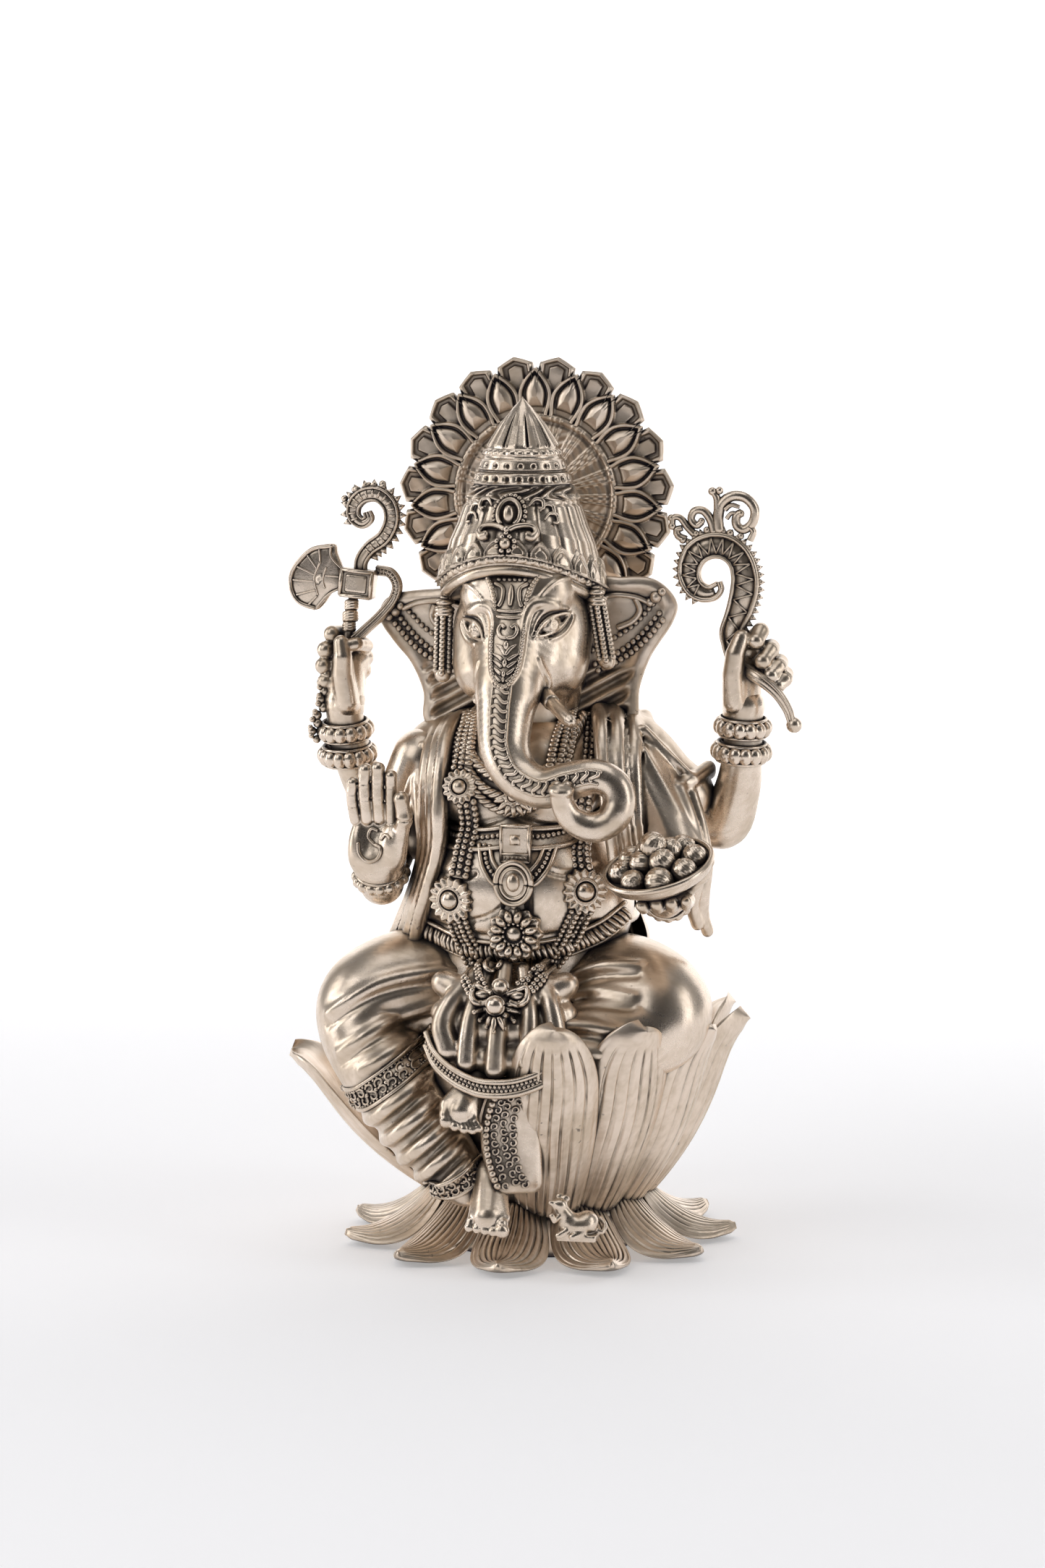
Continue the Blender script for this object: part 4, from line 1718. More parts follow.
# pierced lace: two edges with small rings and beads between them, laid on a form
def laceBand(casting, form, points, width, toward=(0, 1, 0), pitch=1.35, lift=0.12):
    mid = strung(curve(np.array(points), 120), 0.3)
    along = unit(mid[-1] - mid[0])
    across = unit(np.cross(along, [0, 1, 0]))
    rows = {}
    for share in (-0.5, -0.38, 0.38, 0.5):
        rows[share] = laid(form, mid + across * width * share, toward, 34, lift)
    rod(casting, rows[-0.5], 0.26, 0.3, (0, -1, 0.3), 9)
    rod(casting, rows[0.5], 0.26, 0.3, (0, -1, 0.3), 9)
    beads(casting, strung(rows[-0.38], 0.52), 0.2, 4, 7)
    beads(casting, strung(rows[0.38], 0.52), 0.2, 4, 7)
    run = strung(mid, pitch, 0.5)
    for k, centre in enumerate(run):
        for side, start in ((-1, 0.0), (1, 1.1)):
            a = np.linspace(0, 1.75 * np.pi, 18) + start + k * 0.8
            spread = np.stack([np.cos(a), np.sin(a)], 1) * (0.24 + 0.3 * np.linspace(0, 1, 18))[:, None]
            flat = (centre + across * side * width * 0.17 + spread[:, :1] * along * 1.05
                    + spread[:, 1:] * across)
            rod(casting, laid(form, flat, toward, 34, lift), 0.15, 0.2, (0, -1, 0.3), 6)
    beads(casting, laid(form, strung(mid, pitch, 0.5 + pitch / 2), toward, 34, lift), 0.27, 5, 8)


laceLines = {
    "shin": [
        (-19.2, -32, 17.8), (-16.6, -32, 18.6), (-13.6, -32, 20.6), (-11.0, -32, 22.8),
        (-9.0, -32, 25.2),
    ],
    "ankle": [(-8.4, -32, 9.2), (-6.4, -32, 9.2), (-4.0, -32, 10.4), (-2.0, -32, 12.4)],
}


def addLace(form):
    lace = Casting()
    laceBand(lace, form, laceLines["shin"], 2.6)
    laceBand(lace, form, laceLines["ankle"], 1.9)
    lace.place("laceBands", metals["bright"], "bright_brass")


# feet
def footForm(clay, heel, balls, tips, big, sole, size):
    sole = unit(sole)
    clay.bone(np.array(heel), np.mean(balls, 0), size * 1.15, size * 1.05, 0.3)
    for k in range(5):
        pad, tip = np.array(balls[k]), np.array(tips[k])
        r = 0.78 if k == big else 0.56 - 0.02 * abs(k - big)
        knuckle = pad * 0.4 + tip * 0.6 - sole * 0.25
        clay.bone(np.array(heel), pad, size, r * 1.25, 0.5)
        clay.strand(np.array([pad, knuckle, tip]), np.array([r * 1.15, r * 0.95, r * 0.9]), 0.15)
        clay.ball(tip, r * 1.05, 0.1)
        clay.ball(tip - sole * r * 0.7 + (tip - pad) * 0.06, r * 0.5, 0.06)


leftToes = [
    (-5.9, -21.5, 17.3), (-4.9, -21.7, 16.8), (-3.9, -21.6, 16.5), (-3.0, -21.4, 16.4),
    (-2.3, -21.2, 16.6),
]


def addFeet():
    casting = Casting()
    sculpt(casting, (-8.5, -25, 1.6), (4, -14, 12), 0.15,
           lambda clay: footForm(clay, (-1.7, -18.4, 10.6),
                                 [((k - 2) * 0.78 - 1.2, -21.9, 7.0 - 0.05 * k) for k in range(5)],
                                 [((k - 2) * 0.95 - 1.2, -23.2 + 0.1 * abs(k - 3), 5.6 + 0.08 * abs(k - 3))
                                  for k in range(5)], 4, (0, 0.5, -0.9), 1.7))
    casting.place("rightFoot", metals["skin"], "brass", "right_foot")
    casting = Casting()
    sculpt(casting, (-12, -26, 12), (2, -14, 24), 0.15,
           lambda clay: footForm(clay, (-3.4, -18.4, 21.4),
                                 [(-5.9 + 0.72 * k, -20.6, 18.9 - 0.28 * k) for k in range(5)],
                                 leftToes, 0, (0.5, 0.7, -0.5), 1.5))
    casting.place("leftFoot", metals["skin"], "brass", "left_foot")


# what is worn on the chest and belly
def onBody(points, count, lift=0.0):
    return drawn(torsoForm, points, count, lift=lift)


# a scalloped disc with a ball in a ring, facing out of a form
def medallion(casting, centre, face, radius, scallops, ball=0.42):
    face = unit(face)
    side = unit(np.cross(face, [0, 0, 1.0]))
    other = np.cross(side, face)
    n, m = scallops * 10, 26

    def shape(u, v):
        a = 2 * np.pi * u
        r = v * radius * (1 + 0.07 * np.cos(scallops * a) * smooth(0.6, 1, v))
        leaf = 0.08 * radius * np.abs(np.cos(scallops * a / 2)) * smooth(0.55, 0.72, v) * smooth(1.02, 0.9, v)
        lip = radius * (0.1 * bump(v, 0.55, 0.05) - 0.09 * bump(v, 0.46, 0.05))
        lift = 0.42 + leaf + lip - 0.4 * smooth(0.93, 1, v)
        return [centre[k] + r * (np.cos(a) * side[k] + np.sin(a) * other[k]) + lift * face[k]
                for k in range(3)]

    u, v = ringGrid(n, m)
    front = np.stack(shape(u, v), -1)
    back = front[:, -1:] - 0.5 * face
    hub = np.broadcast_to(centre - 0.5 * face, (n, 1, 3))
    pts = np.concatenate([front, back, hub], 1)
    casting.add(pts.reshape(-1, 3), gridFaces(n, m + 2, True, True))
    basis = np.stack([side, other, face], 1)
    beads(casting, [centre + face * 0.42], radius * ball, 9, 16, (1, 1, 0.75), basis)
    ring = np.array([centre + face * 0.5 + radius * (ball + 0.09) * (math.cos(q) * side
            + math.sin(q) * other) for q in around(40)])
    ringRod(casting, ring, radius * 0.055, 8)


# rows of small beads side by side, laid on a form over a flat cord
def pairRow(casting, points, lift, gap, radius, pitch):
    line = drawn(torsoForm, points, 90, lift=lift)
    side = np.cross(runDirection(line), [0, -1.0, 0])
    side /= np.linalg.norm(side, axis=1)[:, None]
    for k, share in enumerate((-1, 1)):
        beads(casting, strung(line + side * gap * share, pitch, pitch / 2 * k), radius, 5, 8)
    rod(casting, line + vec(0, 0.25, 0), gap * 1.05, 0.28, (0, -1, 0), 8)


garlandLines = {
    "upper": (
        [(-6.4, 60.6), (-6.2, 57.2), (-6.3, 54.9)],
        [(-5.4, 51.6), (-5.3, 49.0), (-5.7, 45.4), (-6.0, 43.3)],
        [(7.3, 60.8), (7.7, 58.0), (7.6, 54.0), (7.2, 50.0), (7.0, 46.9), (7.5, 44.2)],
    ),
    "tails": [
        [(-7.0, 38.6), (-6.4, 36.0), (-5.3, 33.4), (-3.7, 31.2)],
        [(-5.7, 38.8), (-4.9, 36.2), (-3.6, 33.6), (-2.2, 31.5)],
        [(8.0, 39.6), (6.6, 36.6), (4.7, 33.8), (2.9, 31.6)],
        [(6.9, 39.8), (5.2, 36.4), (3.3, 33.7), (1.6, 32.0)],
    ],
    "studs": ((-6.2, 53.2, 1.95, 14), (-6.9, 40.8, 2.55, 16), (7.7, 41.9, 2.5, 16)),
}


def addGarland():
    garland = Casting()
    for points in garlandLines["upper"]:
        pairRow(garland, points, 0.75, 0.78, 0.42, 0.74)
        line = drawn(torsoForm, points, 60, lift=1.0)
        beads(garland, strung(line, 0.74, 0.37), 0.33, 5, 8)
    tails = garlandLines["tails"]
    for points in tails:
        line = hung(points, 60, 0.75)
        side = np.cross(runDirection(line), [0, -1.0, 0])
        for k, share in enumerate((-0.36, 0.36)):
            beads(garland, strung(line + side * share, 0.6, 0.3 * k), 0.34, 5, 8)
    garland.place("garland", metals["bright"], "bright_brass", "garland")
    studs = Casting()
    for x, z, r, n in garlandLines["studs"]:
        p = laid(torsoForm, [(x, -30, z), (x + 0.5, -30, z), (x, -30, z + 0.5)], reach=36, lift=0.5)
        face = np.cross(p[1] - p[0], p[2] - p[0])
        face = unit(face if face[1] < 0 else -face)
        face = unit(face + vec(0, -0.8, 0))
        medallion(studs, p[0], face, r, n)
    studs.place("garlandMedallions", metals["bright"], "bright_brass", "garland_medallions")


def frontForm(clay):  # belly and apron together, for what hangs over both
    torsoForm(clay)
    apronForm(clay)


def hung(points, count, lift):
    return laid(frontForm, curve(np.array([(x, -34, z) for x, z in points]), count), reach=36, lift=lift)


def addNecklace():
    x = body["x"]
    collar = Casting()
    for k, (drop, wide, r) in enumerate([(0, 6.4, 0.62), (1.9, 6.0, 0.58), (3.5, 5.4, 0.55)]):
        line = [(x - wide, 60.6 - drop * 0.4), (x - wide * 0.82, 57.6 - drop),
                (x - wide * 0.45, 55.0 - drop), (x + 0.6, 53.9 - drop), (x + wide * 0.6, 55.0 - drop),
                (x + wide * 0.95, 57.6 - drop), (x + wide + 0.6, 60.6 - drop * 0.4)]
        path = drawn(torsoForm, line, 160, lift=0.35)
        # a cord twisted out of three strands
        _, side, above = frames(path, (0, -1, 0.2))
        run = runLength(path)
        for s in range(3):
            a = run * 2.6 + s * 2 * np.pi / 3
            twist = path + (side * np.cos(a)[:, None] + above * np.sin(a)[:, None]) * r * 0.55
            rod(collar, twist, r * 0.52, None, (0, -1, 0.2), 7)
    for s in (-1, 1):  # thick braid of beads down from each side of the neck
        for k, off in enumerate((-0.85, 0.0, 0.85)):
            pts = [(x + s * (5.2 + 0.2 * off), 61.8), (x + s * 5.6 + off, 58.6), (x + s * 5.4 + off, 55.6)]
            path = drawn(torsoForm, pts, 60, lift=0.9)
            beads(collar, strung(path, 0.66, 0.33 * (k % 2)), 0.46, 5, 8, squash=(1.25, 1, 0.8))
    p = onBody([(x + 0.7, 52.3), (x + 0.7, 52.0)], 2, 0.7)[0]
    medallion(collar, p, (0, -1, 0.1), 1.15, 8, 0.5)
    for k in range(7):
        a = math.radians(-75 + 25 * k)
        tip = p + vec(1.75 * math.sin(a), 0.1, -1.75 * math.cos(a))
        rod(collar, np.linspace(p + 0.5 * (tip - p), tip + 0.35 * (tip - p), 9),
            0.36 * np.sin(np.pi * np.linspace(0.25, 0.93, 9)), None, (0, -1, 0), 8)
    collar.place("necklace", metals["bright"], "bright_brass", "necklace")


def addChest():
    x = body["x"]
    band = Casting()
    for z0, z1 in ((49.4, 49.9), (47.4, 48.0)):
        line = [(x - 9.6, z1 + 0.3), (x - 7.4, z0 - 0.9), (x - 3.6, z0 - 1.0), (x, z0 - 0.6),
                (x + 3.8, z0 - 0.7), (x + 7.2, z0 - 0.2), (x + 9.8, z1 + 0.8)]
        rod(band, onBody(line, 90, 0.15), 0.32, 0.42, (0, -1, 0), 10)
    mid = onBody([(x - 9.4, 49.2), (x - 7.4, 47.7), (x - 3.6, 47.6), (x, 48.0), (x + 3.8, 47.9),
                  (x + 7.2, 48.6), (x + 9.6, 49.6)], 120, 0.12)
    beads(band, strung(mid, 0.62), 0.33, 5, 8)
    band.place("chestBand", metals["bright"], "bright_brass", "chest_band")
    clasp = Casting()
    c = onBody([(0.4, 47.5), (0.4, 47.4)], 2, 0.55)[0]
    for half, deep in ((1.72, 0.5), (1.5, 0.3)):
        box(clasp, c + vec(0, -deep * 0.3, -0.25), (half, 0.75 if half > 1.6 else 0.45, half * 1.18), 0.1)
    for s in (-1, 1):
        rod(clasp, np.array([c + vec(s * 1.55, -0.75, -2.2), c + vec(s * 1.55, -0.75, 1.75)]), 0.24, 0.3,
            (0, -1, 0), 8)
    for z in (-2.2, -1.35, 1.75):
        rod(clasp, np.array([c + vec(-1.6, -0.75, z), c + vec(1.6, -0.75, z)]), 0.22, 0.3, (0, -1, 0), 8)
    pyramid(clasp, c + vec(0, -0.7, 0.2), 1.02, 0.75)
    a = np.linspace(-1, 1, 6)
    square = ([(q, 1) for q in a] + [(q, -1) for q in a] + [(1, q) for q in a[1:-1]]
              + [(-1, q) for q in a[1:-1]])
    beads(clasp, [c + vec(1.22 * p, -0.72, 0.2 + 1.22 * q) for p, q in square], 0.19, 4, 7)
    beads(clasp, [c + vec(1.15 * q, -0.75, -1.78) for q in np.linspace(-1, 1, 6)], 0.26, 5, 8)
    clasp.place("chestClasp", metals["bright"], "bright_brass", "chest_clasp")
    pend = Casting()
    p = onBody([(0.5, 43.1), (0.5, 43.0)], 2, 0.5)[0]
    for r, d in ((1.95, 0.34), (1.42, 0.26)):
        ring = np.array([p + vec(r * math.cos(q), -0.35, r * 1.18 * math.sin(q)) for q in around(60)])
        ringRod(pend, ring, d, 10)
    beads(pend, [p], 1.75, 10, 24, squash=(1, 0.35, 1.18))
    beads(pend, [p + vec(0, -0.35, 0.1)], 0.95, 10, 18, squash=(0.85, 0.75, 1.15))
    for s in (-1, 1):
        outer = [(0.4 + s * 4.3, 47.0), (0.4 + s * 3.7, 44.8), (0.4 + s * 2.6, 43.2), (0.4 + s * 1.6, 42.6)]
        inner = [(0.4 + s * 3.0, 46.9), (0.4 + s * 2.5, 45.4), (0.4 + s * 1.6, 44.2)]
        centreLine = [(0.4 + s * 3.65, 46.9), (0.4 + s * 3.1, 45.0), (0.4 + s * 2.1, 43.7),
                      (0.4 + s * 1.6, 43.3)]
        rod(pend, onBody(outer, 40, 0.15), 0.28, 0.38, (0, -1, 0), 9)
        rod(pend, onBody(inner, 30, 0.15), 0.25, 0.36, (0, -1, 0), 9)
        beads(pend, strung(onBody(centreLine, 50, 0.15), 0.55), 0.29, 5, 8)
    drop = onBody([(0.5, 40.7), (0.55, 39.4)], 2, 0.5)
    beads(pend, [drop[0], drop[1]], [0.4, 0.62], 8, 12, squash=(0.9, 0.8, 1.6))
    pend.place("pendants", metals["bright"], "bright_brass", "pendants")


def box(casting, centre, half, edge=0.1):  # with small bevels, so that its faces shade flat
    centre, half = np.array(centre), np.array(half)
    e, f = edge / half[0], edge / half[2]
    corner = [(1, 1 - 2.5 * f), (1, 1 - f), (1 - e, 1), (1 - 2.5 * e, 1)]
    ring = (corner + [(-a, b) for a, b in corner[::-1]] + [(-a, -b) for a, b in corner]
            + [(a, -b) for a, b in corner[::-1]])
    g = edge / half[1]
    levels = [(-1, 1 - 3 * e), (-1, 1 - e), (g - 1, 1), (2.5 * g - 1, 1), (1 - 2.5 * g, 1), (1 - g, 1),
              (1, 1 - e), (1, 1 - 3 * e)]
    points = np.array([centre + np.array([a * size, level, b * size]) * half for level, size in levels
                       for a, b in ring])
    ends = [centre - vec(0, half[1], 0), centre + vec(0, half[1], 0)]
    casting.add(np.append(points, ends, 0), tubeFaces(len(levels), len(ring)))


def pyramid(casting, centre, half, tall):
    c = np.array(centre)
    base = [c + vec(a * half, 0.2, b * half) for a, b in ((1, 1), (-1, 1), (-1, -1), (1, -1))]
    casting.add(np.array(base + [c + vec(0, -tall, 0), c + vec(0, 0.25, 0)]),
                np.array([[0, 1, 4], [1, 2, 4], [2, 3, 4], [3, 0, 4], [1, 0, 5], [2, 1, 5], [3, 2, 5],
                          [0, 3, 5]]))


bowWing = [(0.7, 31.2), (1.7, 31.5), (2.9, 31.9), (3.1, 30.8), (2.2, 30.1), (1.1, 30.4)]


def addBelt():
    x = body["x"]
    belt = Casting()
    line = [(x - 12.0, 37.9), (x - 9.6, 36.3), (x - 5.4, 35.2), (x, 34.9), (x + 5.4, 35.4), (x + 9.6, 36.9),
            (x + 12.2, 38.9)]
    path = onBody(line, 160, 0.1)
    t, side, above = frames(path, (0, -1, 0.1))
    run = runLength(path)
    for k in np.arange(0, run[-1], 0.62):  # slanted coils round the belt
        i = int(np.searchsorted(run, k).clip(0, len(path) - 1))
        q = np.linspace(-1.2, 1.2, 9)
        arc = (path[i] + np.outer(0.92 * np.sin(q), side[i])
               + np.outer(0.7 * np.cos(q) - 0.1, -above[i] * np.sign(above[i][1])) + np.outer(0.22 * q, t[i]))
        rod(belt, arc, 0.27, None, t[i], 7)
    rod(belt, path + vec(0, 0.1, 0), 0.8, 0.6, (0, -1, 0.1), 10)
    for z in (1.15, -1.2):
        rod(belt, onBody([(a, b + z) for a, b in line], 90, 0.1), 0.26, 0.32, (0, -1, 0), 9)
    # round the back
    a = np.linspace(0.42 * np.pi, 1.58 * np.pi, 60)
    behind = np.stack([x + 12.0 * np.sin(a), -3.0 - 10.6 * np.cos(a), np.full_like(a, 37.9)], -1)
    rod(belt, behind, 0.8, 0.8, (0, 0, 1), 10)
    belt.place("waistBelt", metals["bright"], "bright_brass", "waist_belt")
    flower = Casting()
    c = laid(frontForm, [(0.5, -34, 37.4)], reach=36, lift=0.8)[0]
    medallion(flower, c, (0, -1, 0.12), 3.0, 12, 0.32)
    for k in range(12):
        q = 2 * np.pi * (k + 0.5) / 12
        out = vec(math.sin(q), 0, math.cos(q))
        loop = np.array([c + out * (1.45 + 1.25 * w) + vec(0, -0.75 - 0.35 * math.sin(np.pi * w), 0)
                         for w in np.linspace(0, 1, 9)])
        rod(flower, loop, 0.4 * np.sin(np.pi * np.linspace(0.2, 0.95, 9)) + 0.08, None, (0, -1, 0), 8)
    for k in range(14):
        q = 2 * np.pi * k / 14
        beads(flower, [c + vec(1.22 * math.sin(q), -0.85, 1.22 * math.cos(q))], 0.21, 5, 7)
    for s in (-1, 1):
        hook = [(0.5 + s * 1.3, 35.6), (0.5 + s * 1.45, 34.2), (0.5 + s * 2.3, 33.3),
                (0.5 + s * 3.15, 33.9), (0.5 + s * 2.9, 34.8), (0.5 + s * 2.25, 34.6)]
        rod(flower, hung(hook, 40, 0.45), 0.26 + 0.08 * np.linspace(0, 1, 40), 0.34, (0, -1, 0), 9)
    flower.place("beltFlower", metals["bright"], "bright_brass", "belt_flower")
    bow = Casting()
    p = laid(frontForm, [(-0.4, -34, 32.0), (-0.7, -34, 30.1)], reach=36, lift=0.85)
    for q, r in zip(p, (0.85, 1.0)):
        beads(bow, [q], r, 10, 16, squash=(1, 0.8, 1))
        ringRod(bow, np.array([q + vec(0.98 * r * math.cos(w), 0.05, 0.98 * r * math.sin(w))
                               for w in around(32)]), 0.18, 8)
    for s in (-1, 1):
        bend = bowWing
        wing = hung([(-0.5 + s * a, b) for a, b in bend], 40, 0.5)
        rod(bow, wing, 0.36, 0.42, (0, -1, 0), 9)
        beads(bow, laid(frontForm, [(-0.5 + s * 2.0, -34, 31.0)], reach=36, lift=0.4), 0.75, 8, 12,
              squash=(1.2, 0.6, 0.7))
    for k in range(9):
        q = math.radians(-100 + 25 * k)
        arm = [(-0.7 + r * math.sin(q), -34, 29.9 - r * math.cos(q)) for r in np.linspace(1.1, 2.5, 8)]
        rod(bow, laid(frontForm, arm, reach=36, lift=0.5), 0.34 * np.sin(np.pi * np.linspace(0.25, 0.9, 8)),
            0.4, (0, -1, 0), 8)
        beads(bow, laid(frontForm, arm[-1:], reach=36, lift=0.45), 0.3, 5, 8)
    bow.place("garlandBow", metals["bright"], "bright_brass", "garland_bow")


# pleated apron with its hem, and the lace sash under it

apronFolds = {
    "pleats": [
        ((-3.4, -14.6, 33.0), (-5.8, -17.6, 30.4), (-7.0, -18.6, 27.6), (-6.2, -19.2, 24.8), 1.35),
        ((-2.4, -15.4, 33.4), (-3.5, -18.4, 29.6), (-3.9, -19.4, 26.8), (-4.0, -20.0, 23.6), 1.15),
        ((-0.5, -15.8, 33.6), (-0.5, -18.8, 29.6), (-0.6, -19.8, 26.6), (-0.7, -20.4, 23.0), 1.15),
        ((1.5, -15.6, 33.4), (2.7, -18.4, 29.8), (2.9, -19.4, 26.8), (2.8, -20.0, 23.8), 1.1),
        ((3.2, -14.8, 33.2), (4.7, -17.4, 30.6), (5.6, -18.4, 27.8), (5.8, -19.0, 25.0), 1.25),
    ],
    "sheet": [
        (-7.6, -16.0, 28), (-4.0, -17.2, 27), (-0.5, -17.8, 26.5), (3.0, -17.2, 27), (6.2, -15.8, 28.2),
    ],
}


def apronForm(clay):
    pleats = apronFolds["pleats"]
    sheet = curve(np.array(apronFolds["sheet"]), 24)
    for k in range(len(sheet) - 1):
        a, b = sheet[k], sheet[k + 1]
        clay.bone(a + vec(0, 0.6, 3.6), b + vec(0, 0.6, 3.6), 1.4, 1.4, 0.5)
        clay.bone(a + vec(0, 0.0, 0.4), b + vec(0, 0.0, 0.4), 1.3, 1.3, 1.0)
        clay.bone(a + vec(0, -0.9, -2.8), b + vec(0, -0.9, -2.8), 1.2, 1.2, 1.0)
    for a, b, c, d, r in pleats:
        line = curve(np.array([a, b, c, d]), 24)
        clay.strand(line, np.linspace(r * 0.7, r, 24), 0.45)


apronEdges = {
    "hem": [
        (-8.9, -18.6, 26.6), (-7.6, -19.8, 24.6), (-5.4, -21.0, 23.1), (-2.8, -21.7, 22.1),
        (-0.4, -22.0, 21.9), (2.2, -21.8, 22.2), (4.8, -20.9, 23.2), (6.4, -19.6, 24.6),
    ],
    "sash": [
        (0.0, -20.8, 21.2), (-1.1, -20.8, 18.8), (-1.6, -20.8, 16.4), (-1.5, -20.9, 14.0),
        (-0.9, -21.2, 11.8), (0.0, -21.5, 9.8),
    ],
}


def addApron():
    casting = Casting()
    sculpt(casting, (-11, -24, 19), (9.5, -11, 36), 0.2, apronForm)
    casting.place("apron", metals["cloth"], "brass", "apron")
    hem = Casting()
    top = curve(np.array(apronEdges["hem"]), 90)
    foot = top + vec(0, 0.05, -1.45)
    for line, r in ((top, 0.34), (foot, 0.42)):
        rod(hem, line, r, r * 1.2, (0, -1, 0), 10)
    front, rear = vec(0, -0.1, 0), vec(0, 1.3, 0)
    strip = np.array([[p + front, q + front, q + rear, p + rear] for p, q in zip(top, foot)])
    end = len(top) * 4
    ends = [[0, 1, 2, 3], [end - 1, end - 2, end - 3, end - 4]]
    hem.add(strip.reshape(-1, 3), np.vstack([gridFaces(len(top), 4, False, True), ends]))
    for share in (0.33, 0.66):
        beads(hem, strung(top + (foot - top) * share + vec(0, -0.15, 0), 0.5, 0.25 * (share > 0.5)), 0.23,
              4, 7)
    hem.place("apronHem", metals["bright"], "bright_brass", "apron_hem")
    sash = Casting()
    beadLine = curve(np.array(apronEdges["sash"]), 80)
    beads(sash, strung(beadLine, 0.72), 0.42, 6, 9)

    def sashForm(clay):
        for k in range(0, 79, 3):
            p = beadLine[k]
            clay.bone(p + vec(0.1, 1.2, 0), (3.2, -18.6, p[2]), 0.85, 0.85, 0.5)

    sculpt(sash, (-3, -23, 8), (5, -16, 23), 0.25, sashForm)
    for k, z in enumerate(np.arange(20.4, 9.4, -0.92)):
        for j, dx in enumerate((0.75, 1.75, 2.7)):
            x0 = np.interp(z, [10, 12, 14, 16.5, 19, 21], [0.0, -0.7, -1.4, -1.5, -1.0, 0.1])
            q = np.linspace(0, 1.8 * np.pi, 16) + k * 1.1 + j
            loop = [(x0 + dx + (0.18 + 0.24 * i / 15) * math.cos(w), -30,
                     z + 0.4 * (j % 2) + (0.18 + 0.26 * i / 15) * math.sin(w)) for i, w in enumerate(q)]
            rod(sash, laid(sashForm, loop, reach=20, lift=0.1), 0.13, 0.2, (0, -1, 0), 6)
    sash.place("laceSash", metals["cloth"], "brass", "lace_sash")


# hands
def fingerSet(clay, joints, radii, blend=0.1):
    for finger, r in zip(joints, radii):
        p = np.array(finger, float)
        for k in range(len(p) - 1):
            clay.bone(p[k], p[k + 1], r, r * 0.95, blend)
        for k in range(1, len(p) - 1):  # creases at the joints
            clay.ring(p[k], p[k + 1] - p[k - 1], r * 1.12, 0.13, 0.1, cut=True)
        clay.ball(p[-1], r * 1.02, 0.05)


blessing = {
    "fingers": [
        [(-18.5, -11.6, 49.0), (-18.75, -11.9, 50.6), (-18.85, -12.0, 52.0), (-18.7, -12.1, 53.2)],
        [(-17.1, -11.8, 49.2), (-17.3, -12.1, 51.4), (-17.35, -12.2, 53.2), (-17.2, -12.3, 54.7)],
        [(-15.7, -11.8, 49.3), (-15.8, -12.1, 51.6), (-15.8, -12.2, 53.4), (-15.75, -12.3, 54.9)],
        [(-14.4, -11.7, 49.1), (-14.35, -12.0, 51.2), (-14.3, -12.1, 52.8), (-14.3, -12.2, 54.1)],
    ],
    "thumb": [[(-13.3, -12.2, 46.8), (-12.6, -12.9, 49.4), (-12.9, -13.2, 51.7)]],
    "crease": [(-18.6, -13.0, 48.9), (-16.0, -13.3, 49.1), (-14.2, -12.9, 48.8)],
}


def blessingForm(clay):
    clay.block(vec(-16.1, -10.9, 46.6), (2.9, 1.3, 2.9), 0.4, axes=turn((1, 0, 0), -8), edge=1.1)
    clay.ball(vec(-16.2, -10.6, 44.2), (3.0, 1.9, 2.6), 1.0)
    clay.ball(vec(-14.0, -11.9, 46.2), (1.5, 1.3, 2.6), 0.8)
    clay.ball(vec(-18.3, -11.5, 45.8), (1.1, 1.0, 2.5), 0.7)
    fingers = blessing["fingers"]
    fingerSet(clay, fingers, [0.68, 0.76, 0.78, 0.7])
    fingerSet(clay, blessing["thumb"], [0.85], 0.5)
    clay.strand(np.array(blessing["crease"]), 0.16, 0.1, cut=True)
    clay.bone((-16.2, -10.2, 43.8), (-16.2, -9.0, 41.6), 2.3, 2.5, 1.0)


bowlThumb = [[(20.0, -16.0, 43.0), (21.6, -16.6, 44.6), (22.2, -17.0, 46.2)]]


def bowlHandForm(clay):
    clay.ball(vec(17.6, -16.8, 41.9), (3.2, 3.0, 1.3), 0.5)
    clay.bone((17.2, -13.8, 41.7), (17.5, -16.4, 41.8), 1.8, 1.9, 0.6)
    fingers = [[(15.7 + 1.5 * k, -17.0, 41.4 + 0.1 * k), (15.6 + 1.55 * k, -19.2, 41.2 + 0.15 * k),
                (15.6 + 1.6 * k, -20.6 + 0.15 * k, 41.7 + 0.2 * k)] for k in range(4)]
    fingerSet(clay, fingers, [0.66, 0.72, 0.72, 0.62])
    fingerSet(clay, bowlThumb, [0.75], 0.3)


